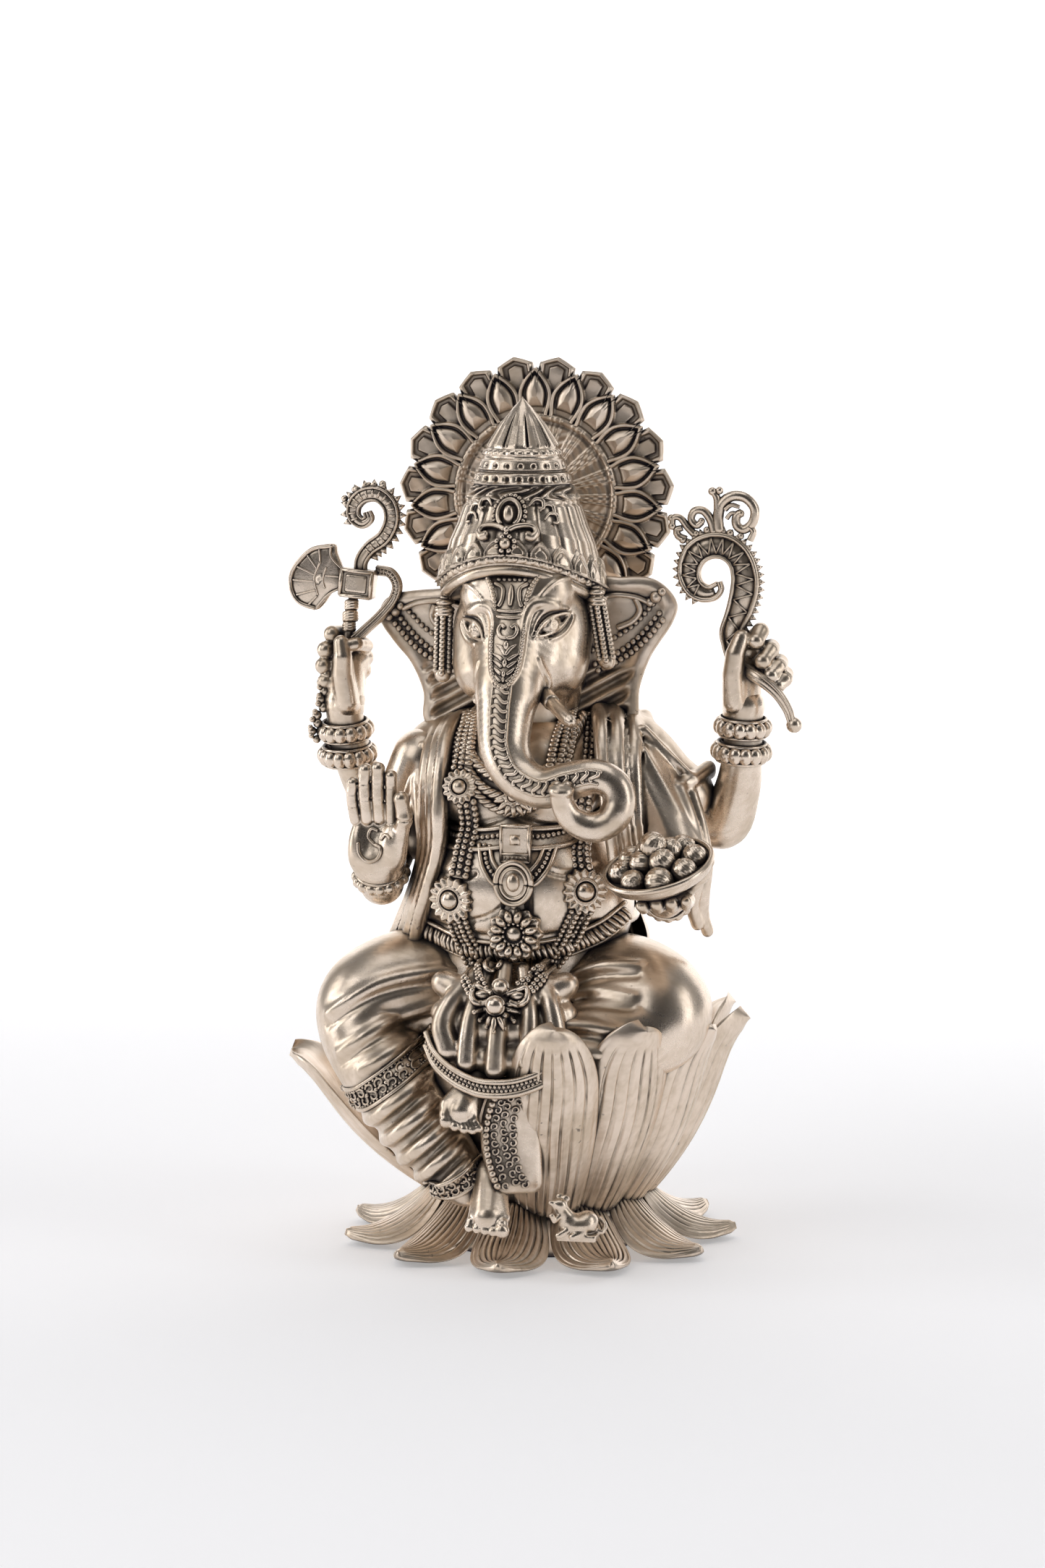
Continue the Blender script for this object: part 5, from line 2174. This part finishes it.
fists = {
    "axePalm": [(-21.2, -4.6, 61.4), (-21.6, -5.0, 64.6), (-21.5, -5.3, 66.6), (-21.8, -5.0, 68.2)],
    "axeFingers": [
        [(-20.2, -1.0, 67.6), (-22.6, -1.4, 68.9), (-23.3, -3.2, 69.0)],
        [(-20.0, -1.0, 66.2), (-23.4, -1.4, 67.3), (-24.0, -3.4, 67.2)],
        [(-20.2, -1.2, 64.8), (-23.8, -1.8, 65.6), (-24.2, -3.6, 65.4)],
        [(-20.6, -1.4, 63.4), (-23.8, -2.0, 63.9), (-24.0, -3.6, 63.7)],
    ],
    "axeThumb": [[(-19.6, -2.0, 67.6), (-20.2, -4.4, 68.0), (-21.6, -4.9, 67.7)]],
    "goadPalm": [(23.0, -4.6, 62.4), (22.9, -5.0, 65.4), (23.2, -5.2, 67.8), (23.8, -4.9, 69.6)],
    "goadFingers": [
        [(23.6, -0.8, 68.6), (25.4, -1.4, 70.0), (25.7, -3.4, 70.2), (25.4, -4.6, 69.2)],
        [(24.0, -0.8, 67.0), (26.6, -1.4, 68.2), (26.8, -3.5, 68.1), (26.2, -4.7, 67.0)],
        [(24.4, -0.9, 65.6), (27.6, -1.6, 66.6), (27.8, -3.6, 66.3), (27.1, -4.6, 65.4)],
        [(24.8, -1.2, 64.4), (28.4, -2.2, 65.4), (28.6, -3.8, 65.0), (27.9, -4.5, 64.3)],
    ],
}


def fistForm(clay, s):
    if s < 0:
        clay.bone((-21.9, -2.9, 60.8), (-21.7, -2.6, 65.6), 2.25, 2.0, 0.6)
        clay.ball(vec(-21.4, -1.6, 66.2), (2.1, 1.5, 2.2), 0.8)
        clay.strand(np.array(fists["axePalm"]), np.array([1.25, 1.15, 1.05, 0.85]), 0.5)
        fingers = fists["axeFingers"]
        fingerSet(clay, fingers, [0.95, 1.0, 0.98, 0.85], 0.25)
        fingerSet(clay, fists["axeThumb"], [0.8], 0.2)
    else:
        clay.bone((23.6, -2.9, 61.0), (23.6, -2.8, 65.2), 2.2, 2.1, 0.6)
        clay.ball(vec(24.2, -1.4, 66.0), (2.4, 1.5, 2.2), 0.8)
        clay.strand(np.array(fists["goadPalm"]), np.array([1.3, 1.2, 1.1, 0.9]), 0.5)
        fingers = fists["goadFingers"]
        fingerSet(clay, fingers, [0.95, 0.98, 0.95, 0.82], 0.25)


palmScroll = [(-18.0, 46.6), (-17.8, 45.3), (-16.8, 44.5), (-15.7, 44.9), (-15.4, 46.0), (-16.2, 46.4)]


def addHands():
    casting = Casting()
    sculpt(casting, (-20.6, -15, 39.2), (-11, -7, 56.6), 0.13, blessingForm)
    scroll = palmScroll
    rod(casting, drawn(blessingForm, scroll, 40, lift=0.05), 0.22, 0.3, (0, -1, 0), 8)
    rod(casting, drawn(blessingForm, [(-16.2, 46.4), (-16.9, 47.2), (-16.6, 48.1), (-15.8, 47.9)], 26,
                       lift=0.05), 0.2, 0.28, (0, -1, 0), 8)
    rod(casting, drawn(blessingForm, [(-15.4, 47.0), (-14.8, 47.6), (-14.2, 47.2)], 16, lift=0.05), 0.18,
        0.28, (0, -1, 0), 8)
    casting.place("blessingHand", metals["bright"], "brass", "lower_right_hand")
    casting = Casting()
    sculpt(casting, (13.2, -22.4, 39.2), (23.8, -11, 47.8), 0.16, bowlHandForm)
    casting.place("bowlHand", metals["bright"], "brass", "lower_left_hand")
    for s, name, node in ((-1, "axeHand", "upper_right_hand"), (1, "goadHand", "upper_left_hand")):
        casting = Casting()
        lo, hi = ((-25.6, -7, 59.5), (-18, 1, 71)) if s < 0 else ((20.4, -7, 60), (30.2, 1, 72))
        sculpt(casting, lo, hi, 0.16, lambda clay, q=s: fistForm(clay, q))
        casting.place(name, metals["bright"], "brass", node)


# axe, with the noose that loops round it
def plate(casting, outline, y, thick, dome=0.25, rings=6):  # a flat shape in x and z with a softly domed face
    ring = curve(np.array([(a, y, b) for a, b in outline]), 90, closed=True)
    mid = ring.mean(0)
    t = np.linspace(1, 0, rings)[:, None, None]
    front = mid + (ring - mid)[None] * t + np.array([0, -1, 0]) * (thick * 0.5 + dome * (1 - t ** 2))
    back = mid + (ring - mid)[None] * t[::-1] + np.array([0, 1, 0]) * (thick * 0.5)
    pts = np.concatenate([back, front], 0)
    n = len(ring)
    casting.add(pts.reshape(-1, 3), gridFaces(2 * rings, n, True, True))


axeShape = {
    "blade": [
        (-22.0, 76.2), (-22.6, 78.0), (-23.1, 79.2), (-25.7, 78.6), (-27.8, 76.4), (-28.2, 74.2),
        (-27.2, 72.4), (-25.2, 71.7), (-24.2, 72.4), (-23.3, 73.6), (-22.0, 74.3),
    ],
    "rim": [(-23.1, 79.0), (-25.6, 78.5), (-27.7, 76.3), (-28.0, 74.2), (-27.1, 72.6), (-25.2, 71.9)],
    "engraved": (
        [(-23.3, 79.0), (-23.2, 77.7), (-21.9, 76.3)], [(-24.5, 77.2), (-25.2, 75.4), (-24.8, 73.4)],
        [(-23.8, 76.6), (-24.2, 75.3), (-24.0, 74.2)], [(-24.9, 72.1), (-23.6, 73.5), (-22.0, 74.3)],
        [(-24.9, 76.4), (-26.0, 77.9)], [(-25.2, 75.7), (-27.2, 76.6)], [(-25.2, 74.9), (-27.7, 75.1)],
        [(-25.0, 74.0), (-27.3, 73.4)], [(-24.5, 77.0), (-24.6, 78.6)], [(-23.9, 75.6), (-22.3, 75.5)],
        [(-24.9, 73.3), (-25.9, 72.3)],
    ),
    "frame": (
        ((-1.75, -1.42), (1.75, -1.42)), ((-1.75, 1.42), (1.75, 1.42)), ((-1.75, -1.42), (-1.75, 1.42)),
        ((1.75, -1.42), (1.75, 1.42)),
    ),
    "knots": ((-21.05, 72.3, 0.85), (-21.2, 71.0, 0.95), (-21.35, 69.8, 0.8)),
    "loop": [
        (-18.4, -1.9, 76.2), (-16.8, -1.9, 75.9), (-16.0, -1.9, 74.6), (-16.4, -1.9, 73.0),
        (-17.8, -2.2, 71.2), (-19.4, -2.8, 69.6), (-20.6, -3.4, 68.4),
    ],
    "rope": [
        (-24.0, -3.6, 64.4), (-24.3, -3.4, 62.6), (-24.4, -3.6, 60.8), (-24.9, -3.8, 59.4),
        (-25.3, -3.8, 58.0), (-25.2, -3.6, 56.6),
    ],
}


def addAxe():
    axe = Casting()
    y = -3.0
    blade = axeShape["blade"]
    plate(axe, blade, y, 0.9)
    face = (0, -1, 0)
    rim = curve(np.array([(a, y - 0.5, b) for a, b in axeShape["rim"]]), 60)
    rod(axe, rim, 0.26, 0.36, face, 8)
    for line in axeShape["engraved"]:
        p = curve(np.array([(a, y - 0.62, b) for a, b in line]), 16)
        rod(axe, p, 0.13, 0.22, face, 6)
    c = vec(-20.2, y - 0.3, 74.8)
    tilt = turn((0, 1, 0), 6)
    for half, deep in (((1.95, 1.1, 1.62), 0), ((1.25, 1.22, 1.0), -0.05)):
        spun = Casting()
        box(spun, (0, deep, 0), half, 0.12)
        spun.points = [p @ tilt.T + c for p in spun.points]
        axe.absorb(spun)
    for a, b in axeShape["frame"]:
        ends = np.array([c + tilt @ vec(a[0], -1.15, a[1]), c + tilt @ vec(b[0], -1.15, b[1])])
        rod(axe, np.array([ends[0], ends.mean(0), ends[1]]), 0.24, 0.26, face, 8)
    shaft = np.array([(-21.9, y, 60.5), (-21.6, y, 67.0), (-21.2, y, 71.5), (-20.7, y, 73.6)])
    rod(axe, curve(shaft, 30), 0.55, None, face, 12)
    for x, z, r in axeShape["knots"]:
        for k in range(3):
            q = around(24) + k
            ringRod(axe, np.array([vec(x + r * 0.62 * math.cos(w), y + r * 0.62 * math.sin(w),
                                       z + 0.3 * (k - 1) + 0.16 * math.cos(w + 1)) for w in q]), r * 0.4, 8)
    axe.place("axe", metals["bright"], "brass", "axe")

    noose = Casting()
    neck = curve(np.array([(-19.9, y, 76.0), (-19.8, y, 77.4), (-18.8, y, 78.8), (-17.2, y, 80.0),
                           (-16.3, y, 81.8), (-16.5, y, 83.6), (-17.8, y, 84.8), (-19.5, y, 84.7),
                           (-20.6, y, 83.6), (-20.6, y, 82.3), (-19.7, y, 81.6), (-18.9, y, 82.1),
                           (-19.1, y, 82.9)]), 120)
    t = np.linspace(0, 1, 120)
    r = 0.7 + 0.4 * np.sin(np.pi * t) - 0.25 * t
    rod(noose, neck, r, 0.75, face, 12)
    for k in (0.72, -0.72):
        _, side, _ = frames(neck, face)
        rod(noose, neck + side * (r * k)[:, None] + vec(0, -0.68, 0), 0.15, 0.2, face, 7)
    run = strung(neck[18:96], 0.72)
    tt = np.gradient(run, axis=0)
    for p, d in zip(run, tt):
        out = unit(np.cross(unit(d), (0, 1, 0)))
        out = out if (p - vec(-18.5, y, 82.4)) @ out > 0 else -out
        rod(noose, np.array([p - vec(0, 0.72, 0) - out * 0.3, p - vec(0, 0.75, 0) + out * 0.45]), 0.13,
            None, face, 6)
        tooth(noose, p + out * 0.8, out, unit(d), 0.42, 0.85, 0.55)
    for a, b in ((-19.0, 85.8), (-20.6, 85.3), (-21.8, 84.3), (-17.4, 86.0)):
        beads(noose, [vec(a, y, b)], 0.42, 7, 10)
    loop = curve(np.array(axeShape["loop"]), 70)
    rod(noose, loop, 0.62, 0.7, face, 12)
    for k in (-0.6, 0.6):
        _, side, _ = frames(loop, face)
        rod(noose, loop + side * 0.62 * k + vec(0, -0.6, 0), 0.14, 0.2, face, 7)
    run = strung(loop[4:34], 0.42)
    tt = np.gradient(run, axis=0)
    for p, d in zip(run, tt):
        out = unit(np.cross(unit(d), (0, 1, 0)))
        rod(noose, np.array([p - vec(0, 0.68, 0) - out * 0.45, p - vec(0, 0.68, 0) + out * 0.45]), 0.1,
            None, face, 6)
    # rope of beads that hangs beside the wrist
    rope = curve(np.array(axeShape["rope"]), 60)
    for k, p in enumerate(strung(rope, 0.95)):
        beads(noose, [p + vec(0.2 * (-1) ** k, 0, 0)], 0.72 - 0.03 * k, 8, 12)
        beads(noose, [p + vec(-0.3, -0.5, 0.45)], 0.34, 6, 9)
    noose.place("noose", metals["bright"], "brass", "noose")


def tooth(casting, base, out, along, half, tall, deep):
    face = vec(0, -1, 0)
    pts = np.array([base - along * half + face * deep, base + along * half + face * deep,
                    base + out * tall + face * deep * 0.3,
                    base - along * half - face * deep, base + along * half - face * deep,
                    base + out * tall - face * deep * 0.3])
    casting.add(pts, np.array([[0, 1, 2], [5, 4, 3], [0, 3, 4], [0, 4, 1], [1, 4, 5], [1, 5, 2], [2, 5, 3],
                               [2, 3, 0]]))


goadShape = {
    "outer": [
        (22.9, 66.4), (23.3, 69.5), (24.5, 72.2), (25.2, 74.6), (25.1, 76.8), (24.3, 78.8), (22.9, 80.2),
        (21.2, 80.8), (19.2, 80.6), (17.5, 79.5), (16.7, 77.7), (16.7, 75.9), (17.6, 74.3), (19.0, 73.6),
        (20.5, 73.8), (21.2, 74.7), (21.0, 75.6),
    ],
    "inner": [
        (22.2, 66.4), (21.6, 68.4), (21.3, 70.1), (21.9, 72.1), (22.4, 74.2), (22.6, 76.0), (22.3, 77.4),
        (21.5, 78.2), (20.4, 78.4), (19.3, 77.9), (18.7, 76.8), (18.9, 75.6), (19.8, 75.0), (20.8, 75.4),
    ],
    "curls": [
        (
            [
                (21.0, 81.0), (20.8, 82.6), (21.2, 84.2), (22.4, 85.1), (23.9, 84.9), (24.9, 83.7),
                (24.7, 82.2), (23.7, 81.4), (22.9, 81.9), (22.9, 82.9), (23.5, 83.3),
            ],
            0.52,
        ),
        ([(21.6, 83.6), (22.3, 84.1), (23.2, 83.9)], 0.25),
        ([(21.8, 82.6), (22.3, 83.2), (22.9, 83.2)], 0.22),
        (
            [
                (20.4, 81.0), (20.0, 82.4), (19.2, 83.4), (18.2, 83.4), (17.8, 82.5), (18.4, 81.8),
                (19.0, 82.2),
            ],
            0.42,
        ),
        ([(18.2, 80.8), (17.4, 81.6), (16.6, 82.6), (15.8, 82.6), (15.7, 81.8)], 0.36),
        ([(17.2, 80.2), (16.4, 80.6), (16.2, 81.3), (16.8, 81.5)], 0.38),
        ([(20.8, 83.6), (20.7, 84.8), (20.3, 85.5)], 0.4),
        ([(24.4, 80.2), (24.8, 81.2), (24.2, 81.8)], 0.34),
    ],
    "knobs": (
        (20.2, 85.6, 0.5), (21.0, 85.7, 0.45), (15.7, 81.7, 0.45), (16.9, 80.2, 0.45), (19.0, 82.3, 0.4),
        (23.4, 83.2, 0.42), (19.6, 81.3, 0.42), (18.4, 80.9, 0.4), (22.2, 81.0, 0.45), (23.4, 80.7, 0.4),
        (16.2, 80.9, 0.4), (15.6, 82.6, 0.42),
    ),
    "tail": [
        (22.6, -3.2, 66.2), (23.8, -3.6, 66.0), (25.8, -5.0, 65.2), (27.8, -5.2, 63.6),
        (29.0, -5.0, 61.8), (29.5, -4.8, 60.2),
    ],
}


def addGoad():
    goad = Casting()
    y, face = -3.0, (0, -1, 0)
    outer = curve(np.array([(a, y, b) for a, b in goadShape["outer"]]), 170)
    inner = curve(np.array([(a, y, b) for a, b in goadShape["inner"]]), 140)
    rod(goad, outer, 0.36, 0.72, face, 10)
    rod(goad, inner, 0.3, 0.68, face, 10)
    # the web between the two edges, with its zigzag
    share = np.linspace(0, 1, 90)
    a = outer[(share * 150).astype(int)]
    b = inner[np.linalg.norm(a[:, None] - inner[None], axis=2).argmin(1)]
    web = np.stack([a + vec(0, 0.3, 0), b + vec(0, 0.3, 0), b + vec(0, -0.35, 0), a + vec(0, -0.35, 0)], 1)
    goad.add(web.reshape(-1, 3),
             np.vstack([gridFaces(90, 4, False, True), [[0, 1, 2, 3]], [[359, 358, 357, 356]]]))
    for k in range(3, 78, 5):
        p, q = a[k], b[k]
        if np.linalg.norm(p - q) > 0.9:
            nextA, nextB = a[min(k + 5, 89)], b[min(k + 5, 89)]
            near, far, nxt = p + (q - p) * 0.12, p + (q - p) * 0.85, nextA + (nextB - nextA) * 0.12
            peak = (far + nextA + (nextB - nextA) * 0.85) / 2
            for u, v in ((near, peak), (peak, nxt)):
                rod(goad, np.array([u, (u + v) / 2, v]) + vec(0, -0.4, 0), 0.12, 0.26, face, 6)
    run = strung(outer[14:138], 0.78)
    tt = np.gradient(run, axis=0)
    for p, d in zip(run, tt):
        out = unit(np.cross(unit(d), (0, 1, 0)))
        out = out if (p - vec(20.8, y, 75.4)) @ out > 0 else -out
        tooth(goad, p + out * 0.26, out, unit(d), 0.36, 0.66, 0.5)
    # crest of scrolls on top
    curls = goadShape["curls"]
    for line, r in curls:
        p = curve(np.array([(c, y, d) for c, d in line]), 40)
        rod(goad, p, r * np.linspace(1.25, 0.95, 40), 0.6, face, 9)
    for c, d, r in goadShape["knobs"]:
        beads(goad, [vec(c, y - 0.2, d)], r, 7, 10)
    tail = curve(np.array(goadShape["tail"]), 50)
    rod(goad, tail, np.linspace(0.95, 0.5, 50), None, face, 12)
    for k in (-0.5, 0.5):
        _, side, _ = frames(tail, face)
        rod(goad, tail + side * k * np.linspace(0.9, 0.5, 50)[:, None]
            + vec(0, -0.62, 0) * np.linspace(1.2, 0.7, 50)[:, None], 0.16, 0.2, face, 7)
    beads(goad, [tail[-1] + vec(0.25, 0, -0.2)], 0.9, 10, 14)
    goad.place("goad", metals["bright"], "brass", "goad")


# bowl of sweets
def addBowl():
    c, tip = vec(17.0, -18.2, 45.6), turn((1, 0, 0), 20) @ turn((0, 1, 0), -10)
    bowl = Casting()

    def shape(u, v):
        a = 2 * np.pi * u
        r = np.interp(v, [0, 0.1, 0.42, 0.5, 0.56, 0.62, 1], [0.02, 2.0, 5.7, 6.15, 6.1, 5.6, 0.02])
        z = np.interp(v, [0, 0.1, 0.42, 0.5, 0.56, 0.62, 1], [-3.1, -3.05, -0.9, 0.0, 0.3, -0.1, -1.5])
        p = np.stack([r * np.cos(a), r * np.sin(a), z], -1) @ tip.T + c
        return p[..., 0], p[..., 1], p[..., 2]

    skinOf(bowl, 96, 60, shape)
    rim = np.array([c + tip @ vec(5.95 * math.cos(q), 5.95 * math.sin(q), 0.18) for q in around(96)])
    ringRod(bowl, rim, 0.34, 10)
    bowl.place("bowl", metals["bright"], "brass", "sweet_bowl")
    sweets = Casting()
    spots = ([(4.0 * math.cos(q), 4.0 * math.sin(q), 0.25) for q in np.arange(8) * np.pi / 4 + 0.2]
             + [(1.7 * math.cos(q), 1.7 * math.sin(q), 1.3) for q in np.arange(4) * np.pi / 2 + 0.6]
             + [(0, 0, 2.7)])
    ball, tris = ballMesh(26, 44)
    golden = [(math.sqrt(1 - w * w) * math.cos(k * 2.39996), math.sqrt(1 - w * w) * math.sin(k * 2.39996),
               w) for k, w in enumerate(np.linspace(-0.98, 0.98, 130))]
    near = (ball @ np.array(golden).T).max(1)
    grain = 1.0 + 0.05 * smooth(0.985, 0.9985, near)
    for k, s in enumerate(spots):
        r = 1.42 + 0.1 * math.sin(k * 2.3)
        sweets.add((ball * (grain * r)[:, None]) @ turn((1, 0.3 * k, 0.5), 50 * k).T + c + tip @ vec(*s),
                   tris)
    sweets.place("sweets", metals["bright"], "bright_brass", "sweets")


mouseTail = [(12.0, -22.4, 5.6), (13.0, -22.2, 5.2), (13.2, -21.2, 6.0), (12.4, -20.4, 6.8)]


# the small mouse at the foot
def mouseForm(clay):
    clay.ball(vec(9.4, -23.2, 6.3), (2.6, 1.9, 1.6))
    clay.ball(vec(10.9, -22.6, 6.6), (1.6, 1.6, 1.7), 0.6)
    clay.bone((8.2, -23.6, 7.2), (7.2, -24.0, 8.8), 1.25, 1.0, 0.6)
    clay.ball(vec(7.1, -24.1, 9.3), (1.15, 1.0, 0.95), 0.3)
    clay.bone((6.9, -24.3, 9.3), (6.0, -24.8, 9.7), 0.7, 0.35, 0.3)
    clay.ball(vec(7.9, -23.6, 10.1), (0.62, 0.35, 0.6), 0.1)
    clay.ball(vec(7.0, -23.3, 10.3), (0.55, 0.35, 0.55), 0.1)
    clay.ball(vec(6.7, -25.0, 9.6), 0.2, 0.05)
    clay.strand(np.array([(7.3, -24.6, 7.8), (6.6, -25.2, 7.2), (6.3, -25.4, 7.9)]), 0.42, 0.2)
    clay.bone((8.2, -24.6, 5.6), (7.2, -25.0, 5.0), 0.6, 0.5, 0.3)
    clay.bone((10.4, -24.2, 5.4), (9.2, -25.0, 4.9), 0.75, 0.5, 0.3)
    clay.strand(curve(np.array(mouseTail), 14), 0.35, 0.2)
    clay.block(vec(9.6, -23.2, 4.6), (2.9, 1.6, 0.5), 0.4, edge=0.3)


def addMouse():
    casting = Casting()
    sculpt(casting, (5, -27, 3.6), (14, -18.5, 11.4), 0.13, mouseForm)
    casting.points = [(p - vec(6.0, -24, 4.1)) * 0.76 + vec(6.2, -22.9, 4.9) for p in casting.points]
    casting.place("mouse", metals["bright"], "brass", "mouse")


stages = [
    addUpperPetals, addLowerPetals, addHub, addHalo, addCrown, addHead, addEars, addTorso, addArms,
    addBangles, addShawls, addLegs, addFeet, addApron, addGarland, addNecklace, addChest, addBelt,
    addHands, addAxe, addGoad, addBowl, addMouse,
]


metals = {
    "bright": castBrass("brightBrass", 0.9, 0.24, 0.7, 1.0),
    "petal": castBrass("petalBrass", 0.8, 0.3, 1.0, 2.0),
    "plate": castBrass("plateBrass", 1.15, 0.33, 1.0, 3.0),
    "old": castBrass("oldBrass", 1.1, 0.38, 1.2, 4.0),
    "skin": castBrass("skinBrass", 0.85, 0.25, 0.8, 5.0),
    "cloth": castBrass("clothBrass", 0.9, 0.27, 1.0, 6.0),
}
addCamera()
addStudio()
addFloor()
for make in stages:
    make()
    print("made", make.__name__, sum(n for _, n in made))
steel = Shade("steel").finish(Base_Color=(0.42, 0.42, 0.43, 1), Metallic=1, Roughness=0.32)
for name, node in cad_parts.items():
    node.data.materials.clear()
    node.data.materials.append(steel if name in ("base_screw", "base_washer", "halo_pin") else metals["old"])
